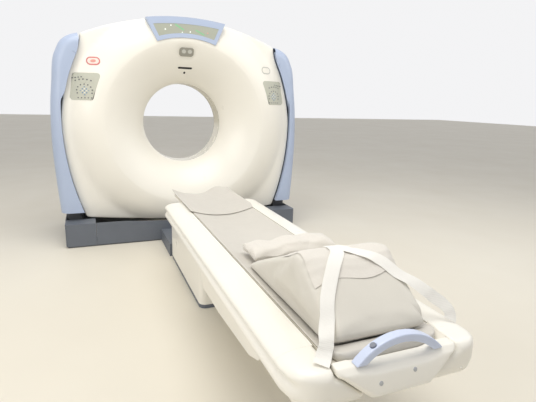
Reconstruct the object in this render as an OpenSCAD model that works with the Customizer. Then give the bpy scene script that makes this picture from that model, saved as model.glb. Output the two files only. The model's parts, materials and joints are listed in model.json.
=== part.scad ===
// Computed tomography scanner: tilting gantry on a low base, with a lifting patient table
// Axes: +X to the right, +Y from the table's foot end into the bore, +Z up
// Origin: on the floor, at the centre of the whole footprint

/* [Bore] */
// Height of the bore's centre and of the tilt axis above the floor
iso_z = 1015; // [990:1:1030]
// Diameter of the patient bore
bore_d = 700; // [680:1:720]
// Length of the straight tube in the middle of the bore
throat_len = 190; // [170:1:210]

/* [Gantry covers] */
// Height of the gantry's top
gantry_h = 1887; // [1875:1:1900]
// Distance from the scan plane to the crest of the front and rear covers
crest_y = 352; // [345:1:365]
// Radius of the crest that runs round the funnel
crest_r = 690; // [670:1:700]
// Radius of the crease outside the crest
crease_r = 945; // [930:1:960]
// How far the crease lies behind the crest
crease_drop = 100; // [90:1:110]
// Shape number of the funnel curve, where 1 is straight and 2 is an ellipse
funnel_curve = 1.4; // [1.3:0.05:1.6]
// Radius of the arc along the gantry's top edge
top_edge_r = 2080; // [2000:10:2300]
// Height of the covers' lower edge at the middle
bottom_z = 165; // [160:1:185]
// Radius of the arc along the lower edge
bottom_edge_r = 7800; // [6000:100:9000]
// Wall of the moulded covers
cover_t = 8; // [6:0.5:9]
// Gap between the two halves of the tilting covers
seam_gap = 4; // [2:1:8]

/* [Side covers] */
// Widest half width of the tilting covers, at the tilt axis
side_x = 1018; // [1012:1:1022]
// Radius of the upper round flank of the tilting covers
flank_upper_r = 1533; // [1450:1:1600]
// Radius of the lower round flank of the tilting covers
flank_lower_r = 2281; // [2200:1:2400]
// Gap between the tilting covers and the fixed side covers
tilt_gap = 8; // [6:1:12]
// Reach of the side covers beyond the tilting covers
side_reach = 72; // [70:1:78]
// Half depth of the side covers
side_depth = 290; // [280:1:300]
// Edge radius of the side covers
side_round = 80; // [76:1:84]
// Wall of the side covers
side_t = 5; // [4:0.5:6]
// Height of the side covers' lower edge
side_bottom_z = 268; // [255:1:285]

/* [Gantry base] */
// Half width of the base
base_half_w = 1033; // [1025:1:1040]
// Half depth of the base
base_half_d = 400; // [395:1:420]
// Height of the base covers
base_h = 200; // [190:1:205]
// Wall of the base covers
base_t = 8; // [6:1:10]
// Gap between the base covers and the floor
base_floor_gap = 12; // [8:1:20]
// Half width of the front base cover, up to its seams
base_seam_x = 795; // [780:1:820]
// Height of the base frame's beams
beam_h = 60; // [50:1:66]
// Width of the front and rear beams
beam_w = 72; // [60:1:80]
// Radius of the anchor holes in both bases
anchor_r = 9; // [7:0.5:11]
// Half spacing of the gantry's anchor holes across the gantry
anchor_x = 985; // [975:1:995]
// Half spacing of the gantry's anchor holes along the table
anchor_y = 290; // [270:1:310]
// Half depth of each upright
pylon_d = 150; // [140:1:160]
// Radius of the trunnion shafts
trunnion_r = 45; // [35:1:50]
// Outer radius of the trunnion bearings
bearing_r = 75; // [65:1:85]
// Running clearance of shafts, bearings and lift columns
run_gap = 0.05; // [0.03:0.01:0.08]
// Clearance of panels, buttons and pieces that seat with a hair of air
seat_gap = 0.3; // [0.2:0.1:0.5]

/* [Rotor] */
// Outer radius of the rotor drum
drum_r = 790; // [760:1:795]
// Inner radius of the rotor drum
drum_hole_r = 385; // [375:1:395]
// Thickness of the drum plate
drum_t = 35; // [25:1:40]
// Distance of the drum's front face behind the scan plane
drum_y = 60; // [55:1:65]
// Radius of the main bearing's running surface
journal_r = 560; // [540:1:580]
// Width of the main bearing
bearing_w = 45; // [35:1:50]
// Thickness of the tilting frame's plate
frame_t = 50; // [40:1:52]
// Radius at which the X-ray tube's spot turns
focus_r = 600; // [590:1:610]
// Radius of the tube housing
tube_r = 88; // [75:1:90]
// Inner radius of the detector arc
detector_r = 405; // [400:1:420]
// Depth of the detector arc, measured outwards
detector_t = 75; // [60:1:80]
// Radius of the motor's pulley
pulley_r = 60; // [50:1:64]
// Thickness of the drive belt
belt_t = 4; // [3:0.5:5]

/* [Table] */
// Distance from the scan plane to the foot end of the table
foot_reach = 3290; // [3280:1:3310]
// Height of the table's side rails, at the lowest position
rail_top_z = 510; // [506:1:516]
// Half width of the channel between the rails
channel_x = 218; // [217:1:222]
// Half width over the rails
rail_x = 347; // [335:1:360]
// Height of the rails from their lower edge to their top
rail_h = 160; // [150:1:165]
// Wall of the table's covers
rail_t = 4; // [3:0.5:5]
// Distance from the scan plane to the rails' head end
rail_head = 1150; // [1120:1:1180]
// Length of the bow at the rails' head end
bow_len = 320; // [280:1:340]
// Distance from the scan plane to the seam of the foot covers
foot_seam = 3120; // [3116:1:3121]
// Distance from the scan plane to the end of the foot covers
foot_end = 3272; // [3268:1:3276]
// Half width of the pedestal
pedestal_x = 250; // [245:1:255]
// Distance from the scan plane to the pedestal's head side
pedestal_head = 832; // [826:1:840]
// Distance from the scan plane to the pedestal's foot side
pedestal_foot = 1800; // [1790:1:1810]
// Height of the pedestal cover's top
pedestal_h = 330; // [326:1:332]
// Wall of the pedestal's telescoping covers
pedestal_t = 4; // [3:0.5:4]
// Gap between the telescoping covers
nest_gap = 4; // [3:0.5:4]
// Thickness of the plate under the pedestal
plate_t = 24; // [20:1:28]
// Half spacing of the table's anchor holes across the table
table_anchor_x = 200; // [190:1:205]
// Outer radius of the lift columns
column_r = 70; // [64:1:76]
// Wall of each lift tube
column_t = 8; // [7:0.5:9]

/* [Cradle] */
// Height of the cradle's underside at its middle, at the lowest position
cradle_z = 436; // [434:1:438]
// Radius of the cradle's curved underside
cradle_r = 480; // [470:1:500]
// Thickness of the cradle
cradle_t = 20; // [16:1:22]
// Half width of the cradle
cradle_x = 213; // [210:1:214]
// Distance from the scan plane to the cradle's head end
cradle_head = 810; // [800:1:830]
// Thickness of the pad at its middle
pad_t = 25; // [20:1:28]
// Length of the end cap at the cradle's foot end
cap_len = 75; // [65:1:90]
// Rise of the pull handle above its feet
handle_rise = 60; // [50:1:70]
// Half spacing of the pull handle's feet
handle_x = 138; // [130:1:145]
// Thickness of the pull handle
handle_t = 26; // [22:1:30]

/* [Hidden] */
$fn = 96;

// Half width of the whole gantry over its side covers
gantry_half_w = side_x + side_reach;
// Distance of the scan plane from the origin, along the table
iso_y = (foot_reach - base_half_d) / 2;
bore_r = bore_d / 2;
throat_y = throat_len / 2;
// A cut runs this far past the face it opens
over = 5;

warm_white = "#f4f0e6";
lavender = "#b3c3de";
handle_blue = "#cad6ec";
base_grey = "#6e7277";
pad_grey = "#d2cec6";
panel_grey = "#c2c3ba";

// Moves a shape drawn round the scan plane on the floor to its place on the origin's floor
module at_gantry() translate([0, iso_y, 0]) children();
// Moves a shape drawn round the bore's centre to its place
module at_iso() translate([0, iso_y, iso_z]) children();
// Turns a shape from standing on Z to lying on the bore, with its top to the table
module face_table() rotate([90, 0, 0]) children();
// A box from its lowest to its highest corner
module block(low, high) translate(low) cube(high - low);
// Both mirrored copies of a shape on the right
module both_sides() {
    children();
    mirror([1, 0, 0]) children();
}
// A plate with round corners, standing on Z
module round_plate(w, d, h, r) linear_extrude(h) round_rect(w, d, r);
module round_rect(w, d, r) {
    square([w - 2 * r, d], center = true);
    square([w, d - 2 * r], center = true);
    for (x = [-1, 1], y = [-1, 1]) translate([x * (w / 2 - r), y * (d / 2 - r)]) circle(r, $fn = 32);
}
// A flat oval, wider than it is high
module oval(w, h) {
    square([w - h, h], center = true);
    for (x = [-1, 1]) translate([x * (w - h) / 2, 0]) circle(d = h, $fn = 48);
}
function arc(cx, cy, rx, ry, a0, a1, n) =
    [for (i = [0:n]) [cx + rx * cos(a0 + (a1 - a0) * i / n), cy + ry * sin(a0 + (a1 - a0) * i / n)]];

// Curve of the covers, as radius from the bore's axis against depth from the scan plane
rim_r = 1330;
rim_drop = 45;
funnel_steps = 22;
outer_steps = 14;
outer_curve = 1.8;
function funnel_point(t, wall) = [
    crest_r - (crest_r - bore_r - wall) * pow(cos(t), 2 / funnel_curve),
    throat_y + (crest_y - throat_y - wall) * pow(sin(t), 2 / funnel_curve)];
function outer_point(s, wall) = [
    crest_r + (crease_r - crest_r) * s,
    crest_y - wall - crease_drop * pow(s, outer_curve)];
function cover_curve(wall) = concat(
    [for (i = [0:funnel_steps]) funnel_point(90 * i / funnel_steps, wall)],
    [for (i = [1:outer_steps]) outer_point(i / outer_steps, wall)],
    [[rim_r, crest_y - wall - crease_drop - rim_drop]]);
function reversed(list) = [for (i = [len(list) - 1:-1:0]) list[i]];

// Everything behind the covers' front surface, sunk by wall
module cover_mass(wall) face_table() rotate(-90) rotate_extrude($fn = 180)
    polygon(concat([[bore_r + wall, -over]], cover_curve(wall), [[rim_r, -over]]));
// A skin that follows the front surface, from low to high above it
module cover_skin(low, high) face_table() rotate(-90) rotate_extrude($fn = 180)
    polygon(concat(cover_curve(-high), reversed(cover_curve(-low))));

// The covers' outline seen from the front, sunk by wall
outline_len = 2 * base_half_d;
module outline(wall) intersection() {
    translate([0, outline_len / 2, gantry_h - iso_z - top_edge_r])
        face_table() cylinder(r = top_edge_r - wall, h = outline_len, $fn = 180);
    translate([0, outline_len / 2, bottom_z - iso_z + bottom_edge_r])
        face_table() cylinder(r = bottom_edge_r - wall, h = outline_len, $fn = 360);
}
// The two flanks, round about the tilt axis, sunk by wall
module flanks(wall) intersection_for(side = [0, 1]) mirror([side, 0, 0]) union() {
    intersection() {
        translate([side_x + flank_trim - flank_upper_r, 0, 0]) rotate(180)
            sphere(flank_upper_r - wall, $fn = 180);
        block([-2 * side_x, -outline_len, 0], [2 * side_x, outline_len, 2 * side_x]);
    }
    intersection() {
        translate([side_x - flank_lower_r, 0, 0]) rotate(180) sphere(flank_lower_r - wall, $fn = 180);
        block([-2 * side_x, -outline_len, -2 * side_x], [2 * side_x, outline_len, 0]);
    }
}
// The upper flank starts this much wider, so that both meet at the front edge
flank_trim = 6;
// The closed form inside the front half of the covers, sunk by wall
module cover_form(wall) intersection() {
    intersection() {
        outline(wall);
        flanks(wall);
    }
    cover_mass(wall);
}

// Half of the tilting covers, as a moulded shell that is open towards the other half
trunnion_hole_r = 95;
module cover_half() difference() {
    intersection() {
        cover_form(0);
        block([-rim_r, -outline_len, -rim_r], [rim_r, -seam_gap / 2, rim_r]);
    }
    cover_form(cover_t);
    translate([0, over, 0]) face_table() cylinder(r = bore_r + cover_t, h = throat_y + over);
    translate([-rim_r, 0, 0]) rotate([0, 90, 0]) cylinder(r = trunnion_hole_r, h = 2 * rim_r);
}

// Places of the controls on the front cover, from the bore's centre
panel_x = 818;
panel_z = 290;
panel_h = 212;
panel_top_w = 204;
panel_low_w = 172;
panel_lean = 55;
panel_round = 22;
estop_x = 741;
estop_z = 490;
estop_w = 104;
estop_h = 64;
estop_ring = 9;
light_z = 601;
light_w = 118;
light_h = 66;
slot_z = 476;
slot_w = 122;
slot_h = 15;
dot_z = 438;
dot_r = 9;
control_rise = 2;
control_sink = 10;

// Outline of a control panel, grown by a margin
module panel_shape(margin) {
    top = panel_h / 2 - panel_round;
    points = [[panel_lean / 2 - panel_low_w / 2 + panel_round, -top],
        [panel_lean / 2 + panel_low_w / 2 - panel_round, -top],
        [panel_top_w / 2 - panel_lean / 2 - panel_round + 8, top],
        [-panel_top_w / 2 - panel_lean / 2 + panel_round + 8, top]];
    hull() for (p = points) translate(p) circle(panel_round + margin, $fn = 32);
}
// Cuts a shape seen from the front out of the skin, at a place on the cover
module on_skin(x, z, low, high) intersection() {
    cover_skin(low, high);
    translate([x, -crest_y / 4, z]) face_table() linear_extrude(crest_y) children();
}
// A hole through the front cover, seen from the front
module skin_hole(x, z) translate([x, -crest_y / 4, z]) face_table() linear_extrude(crest_y) children();

module front_cover() color(warm_white) at_iso() difference() {
    cover_half();
    both_sides() skin_hole(panel_x, panel_z) panel_shape(seat_gap);
    both_sides() skin_hole(estop_x, estop_z) oval(estop_w + 2 * seat_gap, estop_h + 2 * seat_gap);
    skin_hole(0, light_z) round_rect(light_w + 2 * seat_gap, light_h + 2 * seat_gap, 20);
    skin_hole(0, slot_z) oval(slot_w + 2 * seat_gap, slot_h + 2 * seat_gap);
    skin_hole(0, dot_z) circle(dot_r + seat_gap);
}
module rear_cover() color(warm_white) at_iso() mirror([0, 1, 0]) cover_half();

// Raised keys of a control panel: three rows and a cross of four round its middle
key_w = 15;
key_rise = 2;
key_rows = [[-62, 68, 4], [-66, 36, 5]];
key_pitch = 30;
cross_z = -38;
cross_pitch = 22;
module key_shapes() {
    for (row = key_rows, i = [0:row[2] - 1]) translate([row[0] + i * key_pitch, row[1]])
        circle(key_w / 2, $fn = 24);
    for (a = [0:90:270]) translate([0, cross_z]) rotate(a) translate([cross_pitch, 0])
        rotate(45) square(key_w, center = true);
    for (s = [-1, 1], z = [-20, -58]) translate([s * 58, z]) circle(key_w / 2, $fn = 24);
}
module control_panel() {
    on_skin(panel_x, panel_z, -control_sink, control_rise) panel_shape(0);
    on_skin(panel_x, panel_z, control_rise - key_rise, control_rise + key_rise) key_shapes();
}
module right_control_panel() color(panel_grey) at_iso() control_panel();
module left_control_panel() color(panel_grey) at_iso() mirror([1, 0, 0]) control_panel();

button_w = estop_w - 2 * estop_ring - 2 * seat_gap;
button_h = estop_h - 2 * estop_ring - 2 * seat_gap;
module estop_button() on_skin(estop_x, estop_z, -control_sink, control_rise) oval(button_w, button_h);
module right_estop_button() color(warm_white) at_iso() estop_button();
module left_estop_button() color("#e8b9b3") at_iso() mirror([1, 0, 0]) estop_button();
module estop_rings() color("#d06060") at_iso() both_sides()
    on_skin(estop_x, estop_z, -control_sink, control_rise) difference() {
        oval(estop_w, estop_h);
        oval(estop_w - 2 * estop_ring, estop_h - 2 * estop_ring);
    }
module breathing_light() color("#9a9a94") at_iso()
    on_skin(0, light_z, -control_sink, 3 * control_rise) round_rect(light_w, light_h, 20);
module laser_windows() color("#26282a") at_iso() {
    on_skin(0, slot_z, -control_sink, -control_rise) oval(slot_w, slot_h);
    on_skin(0, dot_z, -control_sink, -control_rise) circle(dot_r);
}

// The display housing on the top of the front cover
bezel_top_x = 352;
bezel_low_x = 236;
bezel_h = 199;
bezel_rise = 160;
bezel_low_r = gantry_h - iso_z - bezel_rise;
bezel_low_z = gantry_h - iso_z - bezel_h;
bezel_face = 8;
bezel_lean = 4;
bezel_proud = 2;
window_margin = 34;
window_t = 5;
// Shape of the housing or of its window, drawn in by a margin
module bezel_shape(margin) difference() {
    intersection() {
        polygon([[bezel_low_x - margin, bezel_low_z - 20], [bezel_top_x - margin, gantry_h - iso_z + 20],
            [margin - bezel_top_x, gantry_h - iso_z + 20], [margin - bezel_low_x, bezel_low_z - 20]]);
        translate([0, gantry_h - iso_z - top_edge_r])
            circle(top_edge_r + bezel_proud - 1.6 * margin, $fn = 180);
    }
    circle(bezel_low_r + margin);
}
module bezel_tilt() translate([0, -crest_y - bezel_face, bezel_low_z]) rotate([-bezel_lean, 0, 0])
    translate([0, 0, -bezel_low_z]) face_table() children();
module display_bezel() color(lavender) at_iso() difference() {
    bezel_tilt() translate([0, 0, -crease_drop - bezel_face]) linear_extrude(crease_drop + bezel_face)
        bezel_shape(0);
    cover_form(-seat_gap);
    bezel_tilt() translate([0, 0, -window_t]) linear_extrude(window_t + over)
        bezel_shape(window_margin - seat_gap);
}
module display_window() color("#8f958a") at_iso() bezel_tilt() translate([0, 0, -window_t])
    linear_extrude(window_t - 1) bezel_shape(window_margin);

// The straight tube of the bore, between two dark rings
ring_w = 4;
liner_t = 6;
module throat_rings() color("#3c3d3f") at_iso() for (side = [0, 1]) mirror([0, side, 0])
    translate([0, -throat_y + ring_w, 0]) face_table() difference() {
        cylinder(r = bore_r + cover_t - seat_gap, h = ring_w);
        translate([0, 0, -over]) cylinder(r = bore_r, h = ring_w + 2 * over);
    }
module bore_liner() color("#ece8df") at_iso() translate([0, throat_y - ring_w, 0]) face_table() difference() {
    cylinder(r = bore_r + liner_t, h = throat_len - 2 * ring_w);
    translate([0, 0, -over]) cylinder(r = bore_r, h = throat_len + 2 * over);
}

// The tilting frame: a plate behind the rotor, arms to the trunnions, posts to the covers
frame_y = drum_y + drum_t + bearing_w;
frame_hole_r = 470;
frame_plate_r = 880;
frame_half_h = 790;
arm_in_x = 822;
arm_out_x = 985;
arm_half_h = 110;
arm_front = 70;
post_r = 18;
post_x = 556;
post_z = 663;
motor_x = 690;
motor_z = -640;
motor_r = 72;
motor_len = 150;
bracket_t = 30;
bracket_half_h = 45;
bracket_top = 120;
pylon_gap = 18;
pylon_in_x = side_x + pylon_gap;
pylon_t = side_reach - 2 * pylon_gap;
module ring_y(r_out, r_in, y0, y1) translate([0, y1, 0]) face_table() difference() {
    cylinder(r = r_out, h = y1 - y0, $fn = 180);
    translate([0, 0, -over]) cylinder(r = r_in, h = y1 - y0 + 2 * over, $fn = 180);
}
module tilt_frame() color("#8c9096") at_iso() {
    intersection() {
        ring_y(frame_plate_r, frame_hole_r, frame_y, frame_y + frame_t);
        block([-frame_plate_r, 0, -frame_half_h], [frame_plate_r, 2 * frame_y, frame_half_h]);
    }
    both_sides() block([arm_in_x, -arm_front, -arm_half_h], [arm_out_x, frame_y + frame_t, arm_half_h]);
    both_sides() translate([arm_out_x, 0, 0]) rotate([0, 90, 0])
        cylinder(r = trunnion_r, h = pylon_in_x + pylon_t - arm_out_x);
    block([motor_x + motor_r, drum_y - motor_len, motor_z - bracket_half_h],
        [motor_x + motor_r + bracket_t, frame_y + frame_t, motor_z + bracket_half_h]);
    block([motor_x - bracket_t, frame_y, motor_z - bracket_half_h],
        [motor_x + motor_r + bracket_t, frame_y + frame_t, motor_z + bracket_top]);
    for (side = [0, 1]) mirror([0, side, 0]) intersection() {
        for (x = [-1, 1], z = [-1, 1]) translate([x * post_x, 0, z * post_z])
            face_table() cylinder(r = post_r, h = crest_y);
        cover_form(cover_t + seat_gap);
    }
}
module main_bearing() color("#a9adb2") at_iso()
    ring_y(journal_r + bearing_w, journal_r + run_gap, frame_y - bearing_w + 1, frame_y);

// The rotor and what it carries
module rotor_drum() color("#9fa4aa") at_iso() {
    ring_y(drum_r, drum_hole_r, drum_y, drum_y + drum_t);
    ring_y(journal_r, journal_r - bearing_w, drum_y + drum_t, frame_y - 1);
}
slip_in_r = 640;
slip_out_r = 700;
slip_t = 20;
module slip_ring() color("#b98f4a") at_iso()
    ring_y(slip_out_r, slip_in_r, drum_y + drum_t, drum_y + drum_t + slip_t);
brush_half_w = 60;
module brush_block() color("#2f3236") at_iso()
    block([-brush_half_w, drum_y + drum_t + slip_t + seat_gap, slip_in_r],
        [brush_half_w, frame_y, slip_out_r]);
tube_len = 170;
module x_ray_tube() color("#b5b9bd") at_iso() translate([0, drum_y, focus_r]) face_table()
    cylinder(r = tube_r, h = tube_len);
collimator_half = 80;
module collimator() color("#6b6f75") at_iso() difference() {
    block([-collimator_half, -drum_y, bore_r + cover_t + 40],
        [collimator_half, drum_y, focus_r - tube_r / 2]);
    translate([0, drum_y + over, focus_r]) face_table() cylinder(r = tube_r + seat_gap, h = tube_len + over);
}
detector_half_angle = 30;
module detector_array() color("#50555c") at_iso() translate([0, drum_y, 0]) face_table()
    rotate(270 - detector_half_angle) rotate_extrude(angle = 2 * detector_half_angle, $fn = 180)
        translate([detector_r, 0]) square([detector_t, 2 * drum_y - 10]);
generator_in_x = 480;
generator_half_h = 130;
module generator() color("#7c8187") at_iso() both_sides()
    block([generator_in_x, -drum_y - 30, -generator_half_h],
        [generator_in_x + 200, drum_y, generator_half_h]);

// The rotor's drive
module rotor_motor() color("#3d4146") at_iso() translate([motor_x, drum_y - seat_gap, motor_z])
    face_table() cylinder(r = motor_r - seat_gap, h = motor_len);
module motor_pulley() color("#a0a4a8") at_iso() translate([motor_x, drum_y + drum_t, motor_z])
    face_table() cylinder(r = pulley_r, h = drum_t - 2 * seat_gap);
// Straight-sided loop round two circles at a distance, grown by a margin
module belt_loop(margin) hull() {
    circle(drum_r + margin, $fn = 180);
    translate([motor_x, motor_z]) circle(pulley_r + margin);
}
belt_gap = 0.6;
belt_w = 24;
module drive_belt() color("#26282b") at_iso() translate([0, drum_y + (drum_t + belt_w) / 2, 0]) face_table()
    linear_extrude(belt_w) difference() {
        belt_loop(belt_gap + belt_t);
        belt_loop(belt_gap);
    }

// The gantry's base frame, uprights and trunnion bearings
side_beam_x = 870;
beam_end_x = 1020;
beam_front = base_half_d - base_t;
module base_frame() color("#4a4d52") at_gantry() difference() {
    union() {
        both_sides() block([side_beam_x, -beam_front, 0], [beam_end_x, beam_front, beam_h]);
        for (s = [0, 1]) mirror([0, s, 0])
            block([-side_beam_x, -beam_front, 0], [side_beam_x, beam_w - beam_front, beam_h]);
    }
    for (x = [-1, 1], y = [-1, 1]) translate([x * anchor_x, y * anchor_y, -over])
        cylinder(r = anchor_r, h = beam_h + 2 * over);
}
pylon_out_x = pylon_in_x + pylon_t;
pylon_foot_in = 885;
pylon_top_r = 150;
pylon_step = 16;
module right_upright() color("#5b5f65") at_iso() difference() {
    union() {
        translate([0, pylon_d, 0]) face_table() linear_extrude(2 * pylon_d) polygon([
            [pylon_foot_in, beam_h - iso_z], [beam_end_x, beam_h - iso_z], [beam_end_x, base_h - iso_z + 20],
            [pylon_out_x - 44, side_bottom_z - iso_z + 40], [pylon_out_x - pylon_step, -500],
            [pylon_out_x - pylon_step, -380], [pylon_out_x, -140], [pylon_out_x, 40], [pylon_in_x, 40],
            [pylon_in_x, -120], [pylon_in_x - 35, -400], [pylon_in_x - 110, -700]]);
        translate([pylon_in_x, 0, 0]) rotate([0, 90, 0]) cylinder(r = pylon_top_r, h = pylon_t);
    }
    translate([pylon_in_x - over, 0, 0]) rotate([0, 90, 0]) cylinder(r = bearing_r, h = pylon_t + 2 * over);
}
module right_pylon() right_upright();
module left_pylon() mirror([1, 0, 0]) right_upright();
module trunnion_bearings() color("#b8bcc0") at_iso() both_sides() translate([pylon_in_x, 0, 0])
    rotate([0, 90, 0]) difference() {
        cylinder(r = bearing_r, h = pylon_t);
        translate([0, 0, -over]) cylinder(r = trunnion_r + run_gap, h = pylon_t + 2 * over);
    }
gearmotor_z = -165;
gearmotor_r = 26;
gearmotor_len = 78;
module tilt_gearmotor() color("#3a3e44") at_iso()
    translate([-pylon_in_x - pylon_t / 4, -pylon_d, gearmotor_z]) face_table()
        cylinder(r = gearmotor_r, h = gearmotor_len);

// The base's covers: the front and rear panels dip in the middle
dip_r = 6290;
dip_z = 175;
module base_panel() difference() {
    block([-base_seam_x + 1, -base_half_d, base_floor_gap], [base_seam_x - 1, -beam_front, base_h]);
    translate([0, 0, dip_z + dip_r]) face_table() cylinder(r = dip_r, h = 2 * base_half_d, $fn = 360);
}
module base_front_cover() color(base_grey) at_gantry() base_panel();
module base_rear_cover() color(base_grey) at_gantry() mirror([0, 1, 0]) base_panel();
base_hatch_y = 235;
module base_side() color(base_grey) at_gantry() difference() {
    block([base_seam_x + 1, -base_half_d, base_floor_gap], [base_half_w, base_half_d, base_h]);
    block([base_seam_x - over, -beam_front, 0], [base_half_w - base_t, beam_front, base_h - base_t]);
    block([base_seam_x - over, -base_hatch_y, base_floor_gap],
        [base_half_w - base_t, base_hatch_y, base_h + over]);
    for (s = [0, 1]) mirror([0, s, 0]) translate([base_half_w, -base_half_d, 0]) rotate(45)
        cube([24, 24, 2 * base_h], center = true);
}
module base_right_cover() base_side();
module base_left_cover() mirror([1, 0, 0]) base_side();

// Centres of the balls that round the fixed side covers, as distance out and height
side_in = gantry_half_w - side_round;
side_line = [[side_in - 38, 180], [side_in - 13, 550], [side_in - 2, 851], [side_in - 10, 1130],
    [side_in - 33, 1344], [side_in - 43, 1445], [side_in - 54, 1507], [side_in - 66, 1538],
    [side_in - 80, 1570], [side_in - 99, 1602], [side_in - 139, 1627], [side_in - 207, 1646]];
module side_mass(wall) hull() for (p = side_line, y = [-1, 1])
    translate([p[0], y * (side_depth - side_round), p[1] - iso_z]) sphere(side_round - wall, $fn = 32);
// Heights of the bosses inside a side cover, and how far each stops short of the upright's widest
side_bosses = [[-440, pylon_step], [-100, 0], [80, 0]];
boss_half_w = 60;
boss_half_h = 20;
module side_cover() color(lavender) at_iso() difference() {
    side_mass(0);
    difference() {
        side_mass(side_t);
        for (b = side_bosses) block([pylon_out_x - b[1], -boss_half_w, b[0] - boss_half_h],
            [gantry_half_w, boss_half_w, b[0] + boss_half_h]);
    }
    intersection() {
        flanks(-tilt_gap);
        block([0, -outline_len, -rim_r], [rim_r, outline_len, rim_r]);
    }
    block([0, -outline_len, -iso_z], [2 * side_x, outline_len, side_bottom_z - iso_z]);
}
module right_side_cover() side_cover();
module left_side_cover() mirror([1, 0, 0]) side_cover();

// The low duct between the gantry's base and the pedestal
dock_x = 262;
dock_h = 104;
dock_t = 5;
dock_gap = 0.3;
module dock_cover() color(base_grey) at_gantry() difference() {
    block([-dock_x, -pedestal_head + dock_gap, 0], [dock_x, -base_half_d - dock_gap, dock_h]);
    block([-dock_x + dock_t, -pedestal_head + dock_gap + dock_t, -over],
        [dock_x - dock_t, -base_half_d - dock_gap - dock_t, dock_h - dock_t]);
}

// A lying frame of the pedestal's plan, drawn in by a margin
pedestal_mid = -(pedestal_head + pedestal_foot) / 2;
pedestal_len = pedestal_foot - pedestal_head;
pedestal_round = 40;
module pedestal_ring(margin, wall, z0, z1) translate([0, pedestal_mid, z0]) difference() {
    round_plate(2 * pedestal_x - 2 * margin, pedestal_len - 2 * margin, z1 - z0, pedestal_round - margin);
    translate([0, 0, -over]) round_plate(2 * pedestal_x - 2 * margin - 2 * wall,
        pedestal_len - 2 * margin - 2 * wall, z1 - z0 + 2 * over, pedestal_round - margin - wall);
}
column_y = [-1080, -1560];
table_anchor_y = pedestal_len / 2 - 60;
module table_base_plate() color("#4d5156") at_gantry() difference() {
    translate([0, pedestal_mid, 0])
        round_plate(2 * pedestal_x - 2, pedestal_len - 2, plate_t, pedestal_round - 1);
    for (x = [-1, 1], y = [-1, 1]) translate([x * table_anchor_x, pedestal_mid + y * table_anchor_y, -over])
        cylinder(r = anchor_r, h = plate_t + 2 * over);
}
nest = pedestal_t + nest_gap;
lap = 8;
module pedestal_cover() color(warm_white) at_gantry()
    pedestal_ring(0, pedestal_t, plate_t, pedestal_h);
module mid_cover() color(warm_white) at_gantry()
    pedestal_ring(nest, pedestal_t, plate_t + seat_gap, pedestal_h - lap / 2);
module lift_skirt() color(warm_white) at_gantry()
    pedestal_ring(2 * nest, pedestal_t, plate_t + 2 * lap, frame_low_z);
module column_tube(r, z0, z1) for (y = column_y) translate([0, y, z0]) difference() {
    cylinder(r = r, h = z1 - z0);
    translate([0, 0, -over]) cylinder(r = r - column_t, h = z1 - z0 + 2 * over);
}
module lift_columns_outer() color("#9a9ea3") at_gantry() column_tube(column_r, plate_t, pedestal_h - 12);
module lift_columns_mid() color("#aeb2b6") at_gantry()
    column_tube(column_r - column_t - run_gap, plate_t + lap, pedestal_h - lap);
module lift_columns_inner() color("#bfc3c7") at_gantry()
    column_tube(column_r - 2 * column_t - 2 * run_gap, plate_t + 2 * lap, frame_low_z);

// The table's frame between the rails, with the guides that carry the cradle
frame_low_z = 345;
tray_t = 20;
guide_x = 198;
guide_out_x = channel_x - seat_gap;
tray_foot = 3150;
guide_set = 140;
cradle_mid_z = cradle_z + cradle_r;
// Height of the cradle's underside at a distance from its middle
function cradle_under(x) = cradle_mid_z - sqrt(cradle_r * cradle_r - x * x);
module table_frame() color("#7d8187") at_gantry()
    block([-guide_out_x, -tray_foot, frame_low_z], [guide_out_x, -pedestal_head, frame_low_z + tray_t]);
module cradle_guides() color("#e2e2de") at_gantry() both_sides() difference() {
    block([guide_x, -tray_foot, frame_low_z + tray_t],
        [guide_out_x, -rail_head - guide_set, cradle_under(guide_out_x)]);
    translate([0, over, cradle_mid_z]) face_table()
        cylinder(r = cradle_r + seat_gap, h = foot_reach + 2 * over, $fn = 360);
}

// Section of a rail: its broad crown, a groove, a round ridge and a sill, sunk by wall
rail_low_z = rail_top_z - rail_h;
crown_w = 92;
crown_low_z = rail_top_z - 32;
ridge_r = 22;
ridge_z = rail_top_z - 78;
groove_low_z = ridge_z + 14;
groove_depth = 14;
sill_x = rail_x - 47;
sill_round = 12;
outer_side = concat(
    [for (t = [0.2:0.2:0.81]) [rail_x - 4.5 - groove_depth * pow(sin(180 * t), 2),
        crown_low_z - t * (crown_low_z - groove_low_z)]],
    arc(rail_x - ridge_r, ridge_z, ridge_r, ridge_r, 40, -90, 8),
    [[sill_x, ridge_z - ridge_r], [sill_x, rail_low_z + sill_round], [sill_x - sill_round, rail_low_z]]);
inner_in = groove_depth + 4;
function inner_side(wall) = [[rail_x - inner_in - wall, ridge_z - ridge_r + wall],
    [sill_x - wall, ridge_z - ridge_r + wall], [sill_x - wall, rail_low_z + sill_round + wall],
    [sill_x - sill_round - wall, rail_low_z + wall]];
function outer_section(wall) = concat(
    arc(rail_x - crown_w, crown_low_z, crown_w - (wall > 0 ? inner_in + wall : 4),
        rail_top_z - crown_low_z - wall, 90, 0, 10),
    wall > 0 ? inner_side(wall) : outer_side);
module rail_form(wall, y0, y1) translate([0, y1, 0]) face_table() linear_extrude(y1 - y0)
    polygon(concat([[channel_x + wall, rail_low_z + wall], [channel_x + wall, rail_top_z - wall]],
        outer_section(wall)));
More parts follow.
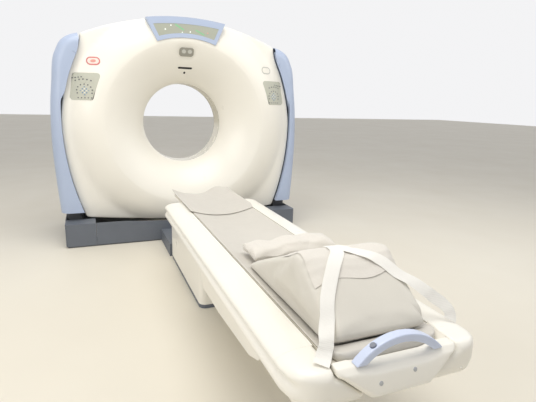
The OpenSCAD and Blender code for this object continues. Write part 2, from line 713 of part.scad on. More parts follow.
// Side view of the rails' raked head end, sunk by wall
module bow(wall) rotate([90, 0, 90]) translate([0, 0, channel_x - over]) linear_extrude(rail_x)
    polygon(concat([[-foot_reach, rail_top_z + over], [-rail_head - wall, rail_top_z + over]],
        arc(-rail_head - bow_len, rail_top_z - 4, bow_len - wall, rail_h + 4, 0, -90, 14),
        [[-foot_reach, rail_low_z - 8]]));
module rail_cover() color(warm_white) at_gantry() difference() {
    intersection() {
        rail_form(0, -foot_seam, -rail_head);
        bow(0);
    }
    intersection() {
        rail_form(rail_t, -foot_seam - over, -rail_head - rail_t);
        bow(2 * rail_t);
    }
}
module right_rail_cover() rail_cover();
module left_rail_cover() mirror([1, 0, 0]) rail_cover();

// Foot covers: the rail's section, rounded in plan and from the side
foot_round = 122;
foot_round_x = rail_x - 3 - foot_round;
heel_len = 150;
heel_h = 90;
toe_len = 70;
toe_h = 45;
lobe_head = tray_foot + 6;
lobe_gap = 4;
// The foot covers' lobes reach inwards under the slanted sides of the end cap
module lobe_form(wall, y1) translate([0, y1, 0]) face_table() linear_extrude(foot_end + y1)
    polygon(concat([[cap_low_x + 2 + wall, rail_low_z + wall],
        [cap_low_x + 2 + wall, cap_low_z - lobe_gap - wall / 2],
        [cap_side_x + wall, cap_side_z - lobe_gap - wall],
        [channel_x + wall, cap_side_z + 2 - wall], [channel_x + wall, rail_top_z - wall]],
        outer_section(wall)));
module foot_plan(wall) translate([0, 0, rail_low_z - over]) linear_extrude(rail_h + 2 * over)
    polygon(concat([[0, -foot_seam - 2], [0, -foot_end + wall]],
        arc(foot_round_x, -foot_end + foot_round, foot_round - wall, foot_round - wall, -90, 0, 14),
        [[rail_x - wall, -foot_seam - 2]]));
module foot_side(wall) rotate([90, 0, 90]) linear_extrude(2 * rail_x)
    polygon(concat([[-foot_seam, rail_top_z + over], [-foot_seam, rail_low_z - over]],
        arc(-foot_end + heel_len, rail_low_z + heel_h, heel_len - wall, heel_h - wall, -90, -180, 10),
        arc(-foot_end + toe_len, rail_top_z - toe_h, toe_len - wall, toe_h - wall, 180, 90, 8)));
module foot_cover() color(warm_white) at_gantry() difference() {
    intersection() {
        union() {
            rail_form(0, -foot_end, -foot_seam - 2);
            lobe_form(0, -lobe_head);
        }
        foot_plan(0);
        foot_side(0);
    }
    intersection() {
        union() {
            rail_form(rail_t, -foot_end, -foot_seam + over);
            lobe_form(rail_t, over - lobe_head);
        }
        translate([0, over, 0]) foot_plan(rail_t);
        foot_side(rail_t);
    }
}
module right_foot_cover() foot_cover();
module left_foot_cover() mirror([1, 0, 0]) foot_cover();

// The cover under the table, between the pedestal and the foot end
belly_x = 268;
belly_t = 4;
belly_head = pedestal_foot + 50;
belly_foot = foot_end - 392;
belly_low_z = frame_low_z - 139;
module belly_side(wall) polygon([[-belly_head - wall, frame_low_z + over],
    [-belly_head - 50 - wall, belly_low_z + 26 + wall], [-belly_head - 110, belly_low_z + wall],
    [-belly_head - 400, belly_low_z + wall], [-belly_foot + 180, belly_low_z + 30 + wall],
    [-belly_foot + 80, belly_low_z + 66 + wall], [-belly_foot + wall, frame_low_z + over]]);
module belly_mass(wall) intersection() {
    rotate([90, 0, 90]) translate([0, 0, -belly_x + wall])
        linear_extrude(2 * belly_x - 2 * wall) belly_side(wall);
    block([-belly_x, -foot_reach, 0], [belly_x, -pedestal_foot, frame_low_z + (wall > 0 ? over : 0)]);
}
module belly_cover() color(warm_white) at_gantry() difference() {
    belly_mass(0);
    belly_mass(belly_t);
}

// The cradle: a curved board that lies on its guides
cradle_foot = foot_reach - cap_len;
module cradle_arc(r_out, r_in, half, y0, y1) intersection() {
    translate([0, 0, cradle_mid_z]) ring_y(r_out, r_in, y0, y1);
    block([-half, y0, 0], [half, y1, cradle_mid_z]);
}
module cradle() color("#e6e3dc") at_gantry()
    cradle_arc(cradle_r, cradle_r - cradle_t, cradle_x, -cradle_foot, -cradle_head);

// The cap at the cradle's foot end, with a flat apron between the guides
cap_low_z = 404;
cap_low_x = 103;
cap_side_x = guide_x - 2;
cap_side_z = cradle_under(cap_side_x);
cap_top_z = 496;
cap_shoulder_z = 508;
module cap_face(grow) {
    wing = [for (i = [0:4]) cap_side_x + i / 4 * (cradle_x - cap_side_x - grow)];
    right_side = concat([[cap_low_x - grow / 2, cap_low_z + grow]],
        [for (x = wing) [x, cradle_under(x) + grow]],
        [[cradle_x - grow, cap_shoulder_z - grow], [handle_x + 20, cap_shoulder_z - grow],
        [handle_x - 40, cap_top_z - grow]]);
    polygon(concat(right_side, [for (p = reversed(right_side)) [-p[0], p[1]]]));
}
cap_round = 24;
cap_slices = 6;
module end_cap() color(warm_white) at_gantry() {
    translate([0, -cradle_foot - seat_gap, 0]) face_table()
        linear_extrude(cap_len - cap_round - seat_gap) cap_face(0);
    for (i = [0:cap_slices - 1]) {
        a = 90 * (i + 1) / cap_slices;
        translate([0, -foot_reach + cap_round * (1 - i / cap_slices), 0]) face_table()
            linear_extrude(cap_round / cap_slices) cap_face(cap_round * (1 - cos(a)) * 0.6);
    }
}

// The pull handle: an arched grip on the cap, with its release button
handle_y = -foot_reach + 42;
handle_w = 34;
handle_foot_z = cap_shoulder_z;
handle_r = (handle_x * handle_x + handle_rise * handle_rise) / (2 * handle_rise);
handle_mid_z = handle_foot_z + handle_rise - handle_r;
button_r = 9;
button_angle = 62;
module at_button() translate([0, handle_y, handle_mid_z]) rotate([0, button_angle - 90, 0]) children();
module pull_handle() color(handle_blue) at_gantry() difference() {
    intersection() {
        translate([0, 0, handle_mid_z]) ring_y(handle_r + handle_t / 2, handle_r - handle_t / 2,
            handle_y - handle_w / 2, handle_y + handle_w / 2);
        block([-2 * handle_x, -foot_reach, handle_foot_z], [2 * handle_x, -cradle_foot, iso_z]);
    }
    at_button() translate([0, 0, handle_r]) cylinder(r = button_r + seat_gap, h = handle_t);
}
module handle_button() color("#8f9399") at_gantry() at_button() translate([0, 0, handle_r + 4])
    cylinder(r = button_r, h = handle_t / 2 - 1);

// Soft pieces that lie on the cradle
pad_head = 815;
pad_x = 208;
pad_edge_z = 512;
pad_mid_z = cradle_z + cradle_t + pad_t;
pad_r = (pad_x * pad_x + pow(pad_edge_z - pad_mid_z, 2)) / (2 * (pad_edge_z - pad_mid_z));
// A cushion solid over the cradle, below a round top of a radius and above one of another
module pad_solid(half, z_mid, r_top, y0, y1) difference() {
    intersection() {
        translate([0, 0, cradle_mid_z]) face_table() translate([0, 0, -y1])
            cylinder(r = cradle_r - cradle_t - seat_gap, h = y1 - y0, $fn = 180);
        block([-half, y0, cradle_z], [half, y1, pad_edge_z + 2]);
    }
    translate([0, y1 + over, z_mid + r_top]) face_table()
        cylinder(r = r_top, h = y1 - y0 + 2 * over, $fn = 180);
}
module cradle_pad() color(pad_grey) at_gantry()
    pad_solid(pad_x, pad_mid_z, pad_r, -cradle_foot + 3, -pad_head);

mat_head = 780;
mat_near = 1350;
mat_skew = 80;
mat_x = 226;
mat_t = 14;
module head_mat() color(pad_grey) at_gantry() intersection() {
    translate([0, 0, pad_mid_z + pad_r])
        ring_y(pad_r - seat_gap, pad_r - seat_gap - mat_t, -mat_near - mat_skew, -mat_head);
    translate([0, 0, cradle_z]) linear_extrude(2 * (rail_top_z - cradle_z)) polygon([
        [-mat_x, -mat_near - mat_skew], [mat_x, -mat_near + mat_skew],
        [mat_x, -mat_head], [-mat_x, -mat_head]]);
}

// The leg cushion: a wedge with its ridge across the cradle
wedge_x = 192;
wedge_head = 2440;
wedge_ridge = 2917;
wedge_foot = 3174;
wedge_low_z = pad_mid_z + pad_r - sqrt(pad_r * pad_r - wedge_x * wedge_x) + seat_gap;
wedge_top_z = 727;
wedge_round = 22;
ridge_round = 30;
ridge_mid_z = wedge_top_z - ridge_round;
nose_mid_y = wedge_round - wedge_foot;
nose_mid_z = wedge_low_z + wedge_round;
module knee_wedge() color(pad_grey) at_gantry() rotate([90, 0, 90]) translate([0, 0, -wedge_x])
    linear_extrude(2 * wedge_x) {
        hull() {
            translate([-wedge_ridge, ridge_mid_z]) circle(ridge_round, $fn = 32);
            translate([-wedge_head - 60, wedge_low_z]) square([60, 8]);
            translate([-wedge_foot, wedge_low_z]) square([wedge_round, 8]);
            translate([nose_mid_y, nose_mid_z]) circle(wedge_round, $fn = 32);
        }
    }
pillow_head = 2235;
pillow_foot = 2425;
pillow_left = -150;
pillow_right = 290;
pillow_low_z = pad_edge_z + seat_gap;
pillow_h = 56;
pillow_round = 24;
module pillow() color("#efece4") at_gantry() rotate([90, 0, 90]) translate([0, 0, pillow_left])
    linear_extrude(pillow_right - pillow_left) hull() {
        for (y = [pillow_round - pillow_foot, -pillow_head - pillow_round])
            translate([y, pillow_low_z + pillow_round]) circle(pillow_round, $fn = 24);
        translate([2 * pillow_round - pillow_foot, pillow_low_z])
            square([pillow_foot - pillow_head - 4 * pillow_round, pillow_h]);
    }

// Slope of the wedge's foot side, and its height at a distance behind the ridge
slope_run = -wedge_ridge - nose_mid_y;
slope_drop = ridge_mid_z - nose_mid_z;
slope_a = atan2(slope_drop, slope_run)
    + asin((ridge_round - wedge_round) / sqrt(slope_run * slope_run + slope_drop * slope_drop));
function slope_z(back) = ridge_mid_z + ridge_round / cos(slope_a) - back * tan(slope_a);

// Two flat straps: one down the slope and over its nose, one bowed out to the right rail
strap_w = 48;
strap_t = 3;
strap_gap = 0.3;
strap_lift = strap_gap / cos(slope_a) + strap_t / 2 * (1 + tan(slope_a));
function on_slope(x, back) = [x, -wedge_ridge - back, slope_z(back) + strap_lift];
// A strap's middle over a round of radius r, at angle a past its top, where its path bends by step
function round_lift(r, a, step) = (r + strap_gap + strap_t / 2 * (sin(a) + cos(a))) / cos(step / 2);
function ridge_point(x, part) = let (a = slope_a * part, r = round_lift(ridge_round, a, slope_a / 2))
    [x, -wedge_ridge - r * sin(a), ridge_mid_z + r * cos(a)];
nose_step = (90 - slope_a) / 3;
function nose_point(x, i) = let (a = slope_a + i * nose_step, r = round_lift(wedge_round, a, nose_step))
    [x, nose_mid_y - r * sin(a), nose_mid_z + r * cos(a)];
module strap_path(points) for (i = [0:len(points) - 2]) hull() {
    for (p = [points[i], points[i + 1]]) translate(p) cube([strap_w, strap_t, strap_t], center = true);
}
strap_low_z = rail_top_z + strap_gap + strap_t / 2;
module straps() color("#fbf8f0") at_gantry() {
    strap_path([ridge_point(-28, 0), ridge_point(-34, 0.5), ridge_point(-42, 1), on_slope(-87, 68),
        on_slope(-150, 151), nose_point(-200, 0), nose_point(-206, 1), nose_point(-212, 2),
        [-224, -wedge_foot - 14, strap_low_z + 19], [-240, -wedge_foot - 28, strap_low_z + 3],
        [-257, -wedge_foot - 41, strap_low_z + 0.5]]);
    strap_path([ridge_point(19, 0), ridge_point(28, 0.5), ridge_point(40, 1), on_slope(116, 71),
        on_slope(160, 118), on_slope(218, 165), [262, -wedge_ridge - 183, strap_low_z + 70],
        [290, -wedge_ridge - 196, strap_low_z + 51], [304, -wedge_ridge - 209, strap_low_z + 33],
        [308, -wedge_ridge - 218, strap_low_z + 14], [297, -wedge_ridge - 226, strap_low_z]]);
}

base_frame();
left_pylon();
right_pylon();
trunnion_bearings();
tilt_gearmotor();
base_front_cover();
base_rear_cover();
base_left_cover();
base_right_cover();
left_side_cover();
right_side_cover();
dock_cover();
table_base_plate();
pedestal_cover();
lift_columns_outer();
tilt_frame();
main_bearing();
front_cover();
rear_cover();
display_bezel();
display_window();
left_control_panel();
right_control_panel();
throat_rings();
bore_liner();
breathing_light();
laser_windows();
estop_rings();
rotor_motor();
drive_belt();
brush_block();
left_estop_button();
right_estop_button();
motor_pulley();
rotor_drum();
x_ray_tube();
collimator();
detector_array();
generator();
slip_ring();
mid_cover();
lift_columns_mid();
lift_skirt();
lift_columns_inner();
table_frame();
cradle_guides();
left_rail_cover();
right_rail_cover();
left_foot_cover();
right_foot_cover();
belly_cover();
cradle();
end_cap();
pull_handle();
handle_button();
cradle_pad();
head_mat();
knee_wedge();
pillow();
straps();
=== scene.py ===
"""Looks of the ct scanner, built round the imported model. Metres, same frame as the model."""
import json
import math

import bmesh
import bpy
import numpy as np
from mathutils import Matrix, Vector
from mathutils.bvhtree import BVHTree

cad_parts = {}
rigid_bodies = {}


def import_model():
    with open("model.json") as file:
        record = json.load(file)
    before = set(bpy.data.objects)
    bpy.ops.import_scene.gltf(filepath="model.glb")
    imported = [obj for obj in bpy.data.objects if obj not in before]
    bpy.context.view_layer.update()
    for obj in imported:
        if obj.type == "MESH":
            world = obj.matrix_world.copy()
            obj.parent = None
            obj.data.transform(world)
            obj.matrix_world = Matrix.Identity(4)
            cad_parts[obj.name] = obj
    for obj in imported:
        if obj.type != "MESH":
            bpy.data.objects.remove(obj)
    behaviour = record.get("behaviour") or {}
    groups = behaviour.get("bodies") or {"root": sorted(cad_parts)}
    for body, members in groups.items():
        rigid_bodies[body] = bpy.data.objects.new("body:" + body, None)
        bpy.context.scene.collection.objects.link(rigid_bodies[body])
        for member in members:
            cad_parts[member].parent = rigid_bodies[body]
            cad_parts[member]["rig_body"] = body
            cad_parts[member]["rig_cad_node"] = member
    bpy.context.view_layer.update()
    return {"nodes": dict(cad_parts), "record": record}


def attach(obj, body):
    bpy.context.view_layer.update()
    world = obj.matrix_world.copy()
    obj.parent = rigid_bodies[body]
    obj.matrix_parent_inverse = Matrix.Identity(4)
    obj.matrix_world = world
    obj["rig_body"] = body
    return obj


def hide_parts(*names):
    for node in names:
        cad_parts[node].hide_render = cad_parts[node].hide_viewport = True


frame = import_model()
nodes = frame["nodes"]

MM = 0.001
# the scan plane and the bore's centre, and that centre over the floor in mm
ISO_Y, ISO_Z, AXIS_Z = 1.445, 1.015, 1015


def clamp01(v):
    return max(0.0, min(1.0, v))


def eased(v):
    """Smooth step of a value from 0 to 1."""
    return v * v * (3 - 2 * v)


def bisect(inside, lo, hi, steps):
    """The last place, from lo towards hi, where inside still holds."""
    for _ in range(steps):
        mid = (lo + hi) / 2
        lo, hi = (mid, hi) if inside(mid) else (lo, mid)
    return lo


def dress(o, body, slot, *stands_for):
    """Rides a piece on a body, in place of the nodes it stands for; the slot is not used."""
    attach(o, body)
    if stands_for:
        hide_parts(*stands_for)


# ---------------------------------------------------------------- camera
def add_camera():
    yaw, pitch, roll = math.radians(22.53), math.radians(12.86), math.radians(1.596)
    f = Vector((math.sin(yaw) * math.cos(pitch), math.cos(yaw) * math.cos(pitch), -math.sin(pitch)))
    r = Vector((math.cos(yaw), -math.sin(yaw), 0))
    u = r.cross(f)
    c, s = math.cos(roll), math.sin(roll)
    right, up = c * r + s * u, -s * r + c * u
    data = bpy.data.cameras.new("camera")
    cam = bpy.data.objects.new("camera", data)
    bpy.context.scene.collection.objects.link(cam)
    m = Matrix((right, up, -f)).transposed().to_4x4()
    m.translation = Vector((-0.8086, -2.7141, 1.2246))
    cam.matrix_world = m
    # the focal length in pixels, over the picture's width
    data.sensor_width = 36
    data.lens = 433.98 / 536 * 36
    data.clip_start, data.clip_end = 0.02, 100
    bpy.context.scene.camera = cam


add_camera()


# ---------------------------------------------------------------- materials
def srgb(r, g, b):
    def one(c):
        c /= 255
        return c / 12.92 if c <= 0.04045 else ((c + 0.055) / 1.055) ** 2.4
    return (one(r), one(g), one(b), 1)


M = {}


class Nodes:
    """A small helper that builds one material's node tree and adds the material to M."""

    def __init__(self, name):
        self.m = M[name] = bpy.data.materials.new(name)
        self.m.use_nodes = True
        self.t = self.m.node_tree
        self.bsdf = self.t.nodes["Principled BSDF"]
        self.coord = self.t.nodes.new("ShaderNodeTexCoord").outputs["Object"]

    def new(self, kind, **values):
        n = self.t.nodes.new(kind)
        for k, v in values.items():
            if hasattr(n, k) and k not in n.inputs:
                setattr(n, k, v)
            else:
                n.inputs[k].default_value = v
        return n

    def put(self, value, socket):
        """Links a node's output to a socket, or sets the socket's value."""
        if isinstance(value, bpy.types.NodeSocket):
            self.t.links.new(value, socket)
        else:
            socket.default_value = value

    def noise(self, scale, detail=3, rough=0.55, vector=None):
        n = self.new("ShaderNodeTexNoise", Scale=scale, Detail=detail, Roughness=rough)
        self.put(vector or self.coord, n.inputs["Vector"])
        return n.outputs["Fac"]

    def stretched(self, x, y, z):
        n = self.new("ShaderNodeMapping")
        self.put((x, y, z), n.inputs["Scale"])
        self.put(self.coord, n.inputs["Vector"])
        return n.outputs["Vector"]

    def ranged(self, value, lo, hi, from_lo=0.25, from_hi=0.75):
        n = self.new("ShaderNodeMapRange", **{"From Min": from_lo, "From Max": from_hi, "To Min": lo, "To Max": hi})
        self.put(value, n.inputs["Value"])
        return n.outputs["Result"]

    def mixed(self, fac, a, b):
        n = self.new("ShaderNodeMix", data_type="RGBA")
        for value, i in ((fac, 0), (a, 6), (b, 7)):
            self.put(value, n.inputs[i])
        return n.outputs[2]

    def math(self, op, a, b):
        n = self.new("ShaderNodeMath", operation=op)
        self.put(a, n.inputs[0])
        self.put(b, n.inputs[1])
        return n.outputs[0]

    def bump(self, height, strength, distance, normal=None):
        n = self.new("ShaderNodeBump", Strength=strength, Distance=distance)
        self.put(height, n.inputs["Height"])
        if normal is not None:
            self.put(normal, n.inputs["Normal"])
        return n.outputs["Normal"]

    def finish(self, colour, rough, normal=None, metallic=0.0, coat=0.0, sheen=0.0, spec=0.5):
        for value, name in ((colour, "Base Color"), (rough, "Roughness"), (metallic, "Metallic"),
                            (coat, "Coat Weight"), (0.12, "Coat Roughness"), (sheen, "Sheen Weight"),
                            (spec, "Specular IOR Level")):
            self.put(value, self.bsdf.inputs[name])
        if normal is not None:
            self.put(normal, self.bsdf.inputs["Normal"])
        return self.m


def shade(colour, k):
    return (colour[0] * k, colour[1] * k, colour[2] * k, 1)


def moulded(name, colour, rough=0.32, coat=0.15, tone=0.96, peel=0.12):
    """Moulded or sprayed plastic: faint cloudy tone, orange peel, uneven gloss."""
    k = Nodes(name)
    cloudy = k.ranged(k.noise(2.2, 2), 0.0, 1.0)
    fine = k.noise(900, 2)
    col = k.mixed(cloudy, shade(colour, tone), colour)
    gloss = k.ranged(k.noise(9, 4), rough - 0.05, rough + 0.07)
    return k.finish(col, gloss, k.bump(fine, peel, 0.0004), coat=coat)


def textured(name, colour, rough=0.5, grain=420, tone=0.86, strength=0.35, metallic=0.0):
    """Powder coat or spark-eroded plastic with a fine grain."""
    k = Nodes(name)
    grainy = k.noise(grain, 3)
    cloudy = k.ranged(k.noise(5, 4), 0.0, 1.0)
    col = k.mixed(cloudy, shade(colour, tone), colour)
    col = k.mixed(k.ranged(grainy, 0.0, 0.35), col, shade(colour, 1.12))
    return k.finish(col, k.ranged(grainy, rough - 0.08, rough + 0.1), k.bump(grainy, strength, 0.0006), metallic)


def brushed(name, colour, rough=0.32, direction=(4, 4, 300)):
    """Ground or drawn metal with fine lines one way."""
    k = Nodes(name)
    lines = k.noise(6, 4, vector=k.stretched(*direction))
    col = k.mixed(k.ranged(lines, 0.0, 1.0), shade(colour, 0.82), colour)
    return k.finish(col, k.ranged(lines, rough - 0.1, rough + 0.12), k.bump(lines, 0.15, 0.0005), metallic=1.0)


def vinyl(name, colour):
    """Coated upholstery: pebbled grain, soft creases, slight sheen."""
    k = Nodes(name)
    cells = k.new("ShaderNodeTexVoronoi", Scale=520.0)
    k.put(k.coord, cells.inputs["Vector"])
    creases = k.noise(26, 5, 0.62)
    cloudy = k.ranged(k.noise(3, 3), 0.0, 1.0)
    col = k.mixed(cloudy, shade(colour, 0.93), colour)
    col = k.mixed(k.ranged(cells.outputs["Distance"], 0.0, 0.12, 0.3, 0.9), col, shade(colour, 0.8))
    n1 = k.bump(creases, 0.12, 0.004)
    n2 = k.bump(cells.outputs["Distance"], 0.25, 0.0006, n1)
    return k.finish(col, k.ranged(creases, 0.40, 0.56), n2, sheen=0.08)


def woven(name, colour, period=0.0022, shadow=0.8):
    """Cloth with crossing threads and a loose drape of small wrinkles."""
    k = Nodes(name)
    waves = []
    for axis in ("X", "Y"):
        w = k.new("ShaderNodeTexWave", wave_type="BANDS", bands_direction=axis, Scale=0.314 / period)
        w.inputs["Distortion"].default_value = 0.6
        w.inputs["Detail Scale"].default_value = 2.0
        k.put(k.coord, w.inputs["Vector"])
        waves.append(w.outputs["Fac"])
    weave = k.math("MULTIPLY", waves[0], waves[1])
    slub = k.noise(60, 4)
    col = k.mixed(k.ranged(weave, 0.0, 1.0, 0.1, 0.8), shade(colour, shadow), colour)
    col = k.mixed(k.ranged(slub, 0.0, 0.3), col, shade(colour, 0.9))
    n1 = k.bump(slub, 0.2, 0.003)
    return k.finish(col, 0.85, k.bump(weave, 0.35, 0.0006, n1), sheen=0.25)


def glowing(name, colour, strength):
    k = Nodes(name)
    dots = k.ranged(k.noise(800, 2), 0.85, 1.0)
    col = k.mixed(dots, shade(colour, 0.8), colour)
    k.finish(col, 0.4)
    k.put(col, k.bsdf.inputs["Emission Color"])
    k.bsdf.inputs["Emission Strength"].default_value = strength
    return k.m


moulded("cover_white", srgb(247, 244, 235))
moulded("cover_lavender", srgb(180, 194, 220), rough=0.36)
moulded("handle_blue", srgb(208, 218, 242), rough=0.34)
textured("base_paint", srgb(104, 110, 120), rough=0.5)
textured("frame_paint", srgb(96, 99, 104), rough=0.45)
brushed("bearing_steel", srgb(196, 198, 202))
brushed("machined_aluminium", srgb(208, 210, 213), 0.36, (300, 4, 300))
textured("tube_paint", srgb(190, 193, 196), rough=0.4, grain=260)
textured("generator_paint", srgb(120, 126, 134), rough=0.42)
textured("detector_dark", srgb(70, 74, 82), rough=0.38, metallic=0.4)
brushed("ring_brass", srgb(206, 170, 104), 0.3, (4, 300, 4))
textured("belt_rubber", srgb(34, 34, 36), rough=0.7, grain=700)
textured("motor_paint", srgb(52, 55, 60), rough=0.45)
textured("dark_plastic", srgb(38, 38, 40), rough=0.48, grain=800)
textured("panel_grey", srgb(196, 197, 184), rough=0.5, grain=900, tone=0.95, strength=0.2)
textured("light_grey", srgb(158, 156, 146), rough=0.4, grain=700)
moulded("window_grey", srgb(176, 180, 166), rough=0.18, coat=0.5, tone=0.93, peel=0.03)
moulded("stop_pink", srgb(243, 226, 218), rough=0.35)
moulded("stop_pale", srgb(243, 240, 230), rough=0.35)
moulded("liner_white", srgb(226, 221, 204), rough=0.24, coat=0.3)
textured("guide_plastic", srgb(222, 221, 214), rough=0.5)
moulded("cradle_composite", srgb(232, 227, 214), rough=0.3)
moulded("button_grey", srgb(130, 134, 146), rough=0.4)
vinyl("cushion_vinyl", srgb(212, 208, 200))
vinyl("wedge_vinyl", srgb(219, 215, 205))
woven("sheet_fabric", srgb(240, 235, 226))
woven("strap_fabric", srgb(252, 250, 244), 0.003, shadow=0.9)


def stop_ring_material():
    """Red paint on the ring at the left, pale grey on the one at the right."""
    k = Nodes("stop_ring")
    split = k.new("ShaderNodeSeparateXYZ")
    k.put(k.coord, split.inputs[0])
    right = k.math("GREATER_THAN", split.outputs["X"], 0.0)
    col = k.mixed(right, srgb(208, 96, 98), srgb(196, 198, 190))
    col = k.mixed(k.ranged(k.noise(40, 3), 0.0, 0.25), col, srgb(232, 214, 208))
    return k.finish(col, 0.4, k.bump(k.noise(900, 2), 0.1, 0.0004), coat=0.2)


M["stop_red"] = stop_ring_material()


# ---------------------------------------------------------------- meshes
def add_object(name, verts, faces, material, smooth=True):
    me = bpy.data.meshes.new(name)
    me.from_pydata([tuple(v) for v in verts], [], faces)
    me.update()
    if smooth:
        me.polygons.foreach_set("use_smooth", [True] * len(me.polygons))
    o = bpy.data.objects.new(name, me)
    bpy.context.scene.collection.objects.link(o)
    me.materials.append(M[material])
    return o


def grid_faces(rows, cols, wrap_rows=False, wrap_cols=False):
    faces = []
    for i in range(rows if wrap_rows else rows - 1):
        for j in range(cols if wrap_cols else cols - 1):
            a, b = i * cols + j, i * cols + (j + 1) % cols
            c, d = ((i + 1) % rows) * cols + (j + 1) % cols, ((i + 1) % rows) * cols + j
            faces.append((a, b, c, d))
    return faces


def apply_modifiers(o):
    dg = bpy.context.evaluated_depsgraph_get()
    me = bpy.data.meshes.new_from_object(o.evaluated_get(dg))
    o.modifiers.clear()
    old = o.data
    o.data = me
    bpy.data.meshes.remove(old)
    me.name = o.name
    return o


def sharp_smooth(o, angle=32):
    me = o.data
    me.polygons.foreach_set("use_smooth", [True] * len(me.polygons))
    me.set_sharp_from_angle(angle=math.radians(angle))


def point_along(o, axis, sign):
    """Turns an open mesh so that most of its area points along one axis."""
    if sum(p.normal[axis] * sign * p.area for p in o.data.polygons) < 0:
        o.data.flip_normals()


def solid(o, thickness, even=True):
    """Gives a sheet a wall inwards from its normals."""
    m = o.modifiers.new("wall", "SOLIDIFY")
    m.thickness, m.offset = thickness, -1
    m.use_even_offset = even
    return apply_modifiers(o)


def recalc(o):
    bm = bmesh.new()
    bm.from_mesh(o.data)
    bmesh.ops.remove_doubles(bm, verts=bm.verts, dist=1e-6)
    bmesh.ops.recalc_face_normals(bm, faces=bm.faces)
    bm.to_mesh(o.data)
    bm.free()
    return o


def cut(o, cutters):
    for c in cutters:
        m = o.modifiers.new("cut", "BOOLEAN")
        m.operation, m.object, m.solver = "DIFFERENCE", c, "EXACT"
    apply_modifiers(o)
    for c in cutters:
        bpy.data.objects.remove(c)
    return o


def prism(name, outline, y0, y1):
    """A closed prism along Y from an outline in x and z."""
    n = len(outline)
    verts = [(x, y0, z) for x, z in outline] + [(x, y1, z) for x, z in outline]
    faces = [tuple(range(n)), tuple(range(2 * n - 1, n - 1, -1))]
    faces += [(i, (i + 1) % n, n + (i + 1) % n, n + i) for i in range(n)]
    o = add_object(name, verts, faces, "dark_plastic", smooth=False)
    return recalc(o)


def copy_of(node, name, material):
    o = nodes[node].copy()
    o.data = nodes[node].data.copy()
    o.parent = None
    o.name = name
    o.data.name = name
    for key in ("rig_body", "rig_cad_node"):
        if key in o:
            del o[key]
    bpy.context.scene.collection.objects.link(o)
    o.data.materials.clear()
    o.data.materials.append(M[material])
    return o


# ---------------------------------------------------------------- front and rear covers
BORE_R, THROAT_Y, CREST_Y, CREST_R = 350, 95, 352, 690
CREASE_R, CREASE_DROP, RIM_R, RIM_DROP = 945, 100, 1330, 45
FUNNEL_CURVE, OUTER_CURVE = 1.4, 1.8
RIM_SOFT, CORNER_SOFT, COVER_T = 15.0, 7.0, 0.007
TOP_R, TOP_C = 2080, 1887 - AXIS_Z - 2080
LOW_R, LOW_C = 7800, 165 - AXIS_Z + 7800
UP_R, UP_C = 1533, 1018 + 6 - 1533
DOWN_R, DOWN_C = 2281, 1018 - 2281


def front_curve(funnel_steps, outer_steps):
    pts = []
    for i in range(funnel_steps + 1):
        t = math.radians(90 * i / funnel_steps)
        pts.append((CREST_R - (CREST_R - BORE_R) * math.cos(t) ** (2 / FUNNEL_CURVE),
                    THROAT_Y + (CREST_Y - THROAT_Y) * math.sin(t) ** (2 / FUNNEL_CURVE)))
    for i in range(1, outer_steps + 1):
        s = i / outer_steps
        pts.append((CREST_R + (CREASE_R - CREST_R) * s, CREST_Y - CREASE_DROP * s ** OUTER_CURVE))
    pts.append((RIM_R, CREST_Y - CREASE_DROP - RIM_DROP))
    return pts


CURVE = np.array(front_curve(64, 24))


def depth_at(r):
    return float(np.interp(r, CURVE[:, 0], CURVE[:, 1]))


# how far the upper flank lies inside its sphere, against the distance from the tilt axis
HOLLOW = [(0, 0), (150, 3), (268, 8), (312, 12), (397, 20), (494, 28), (599, 38), (639, 39), (698, 25), (746, -2),
          (800, -8), (1600, -8)]
HOLLOW_SPAN = 41
HOLLOW_AT = list(np.convolve(np.pad(np.interp(range(1600), *zip(*HOLLOW)), HOLLOW_SPAN // 2, mode="edge"),
                             np.ones(HOLLOW_SPAN) / HOLLOW_SPAN, mode="valid"))


def upper_flank(rho, gap=0):
    return UP_C + math.sqrt(max((UP_R + gap) ** 2 - rho * rho, 0)) - HOLLOW_AT[min(int(rho), 1599)]


def edge_limit(c, s, y):
    """Radius where the covers' outline lies in direction (c, s) at depth y, with softened corners."""
    def circle(cz, rad):
        b = s * cz
        return b + math.sqrt(max(b * b - cz * cz + rad * rad, 0))

    def lower():
        b = abs(c) * DOWN_C
        return b + math.sqrt(max(b * b - DOWN_C ** 2 - y * y + DOWN_R ** 2, 0))

    def upper():
        if abs(c) < 0.3:
            return 1500.0
        return bisect(lambda r: abs(c) * r < upper_flank(math.hypot(s * r, y)), 300.0, 1500.0, 22)

    side = lower()
    if s >= 0:
        high = upper()
        w = eased(max(0.0, 1 - s * high / 150))
        side = w * side + (1 - w) * high
    limits = [circle(TOP_C, TOP_R) if s > 0 else circle(LOW_C, LOW_R), side]
    lo = min(limits)
    return lo - CORNER_SOFT * math.log(sum(math.exp(-(v - lo) / CORNER_SOFT) for v in limits))


def outer_edge(c, s):
    return bisect(lambda r: r < edge_limit(c, s, depth_at(r)), 500.0, 1330.0, 24)


def cover_profile(c, s):
    """Radius and depth along one direction, from the throat over the front and back along the side."""
    edge = outer_edge(c, s)
    d_edge = depth_at(edge)
    pts = front_curve(34, 0)[:-1]
    pts += [(r, depth_at(r)) for r in np.linspace(CREST_R, edge - RIM_SOFT, 14)[1:]]
    a, b = pts[-1], (edge_limit(c, s, d_edge - RIM_SOFT), d_edge - RIM_SOFT)
    for i in range(1, 6):
        t = i / 6
        pts.append(((1 - t) ** 2 * a[0] + 2 * t * (1 - t) * edge + t * t * b[0],
                    (1 - t) ** 2 * a[1] + 2 * t * (1 - t) * d_edge + t * t * b[1]))
    for y in np.linspace(d_edge - RIM_SOFT, 2, 6):
        pts.append((edge_limit(c, s, y), y))
    return pts


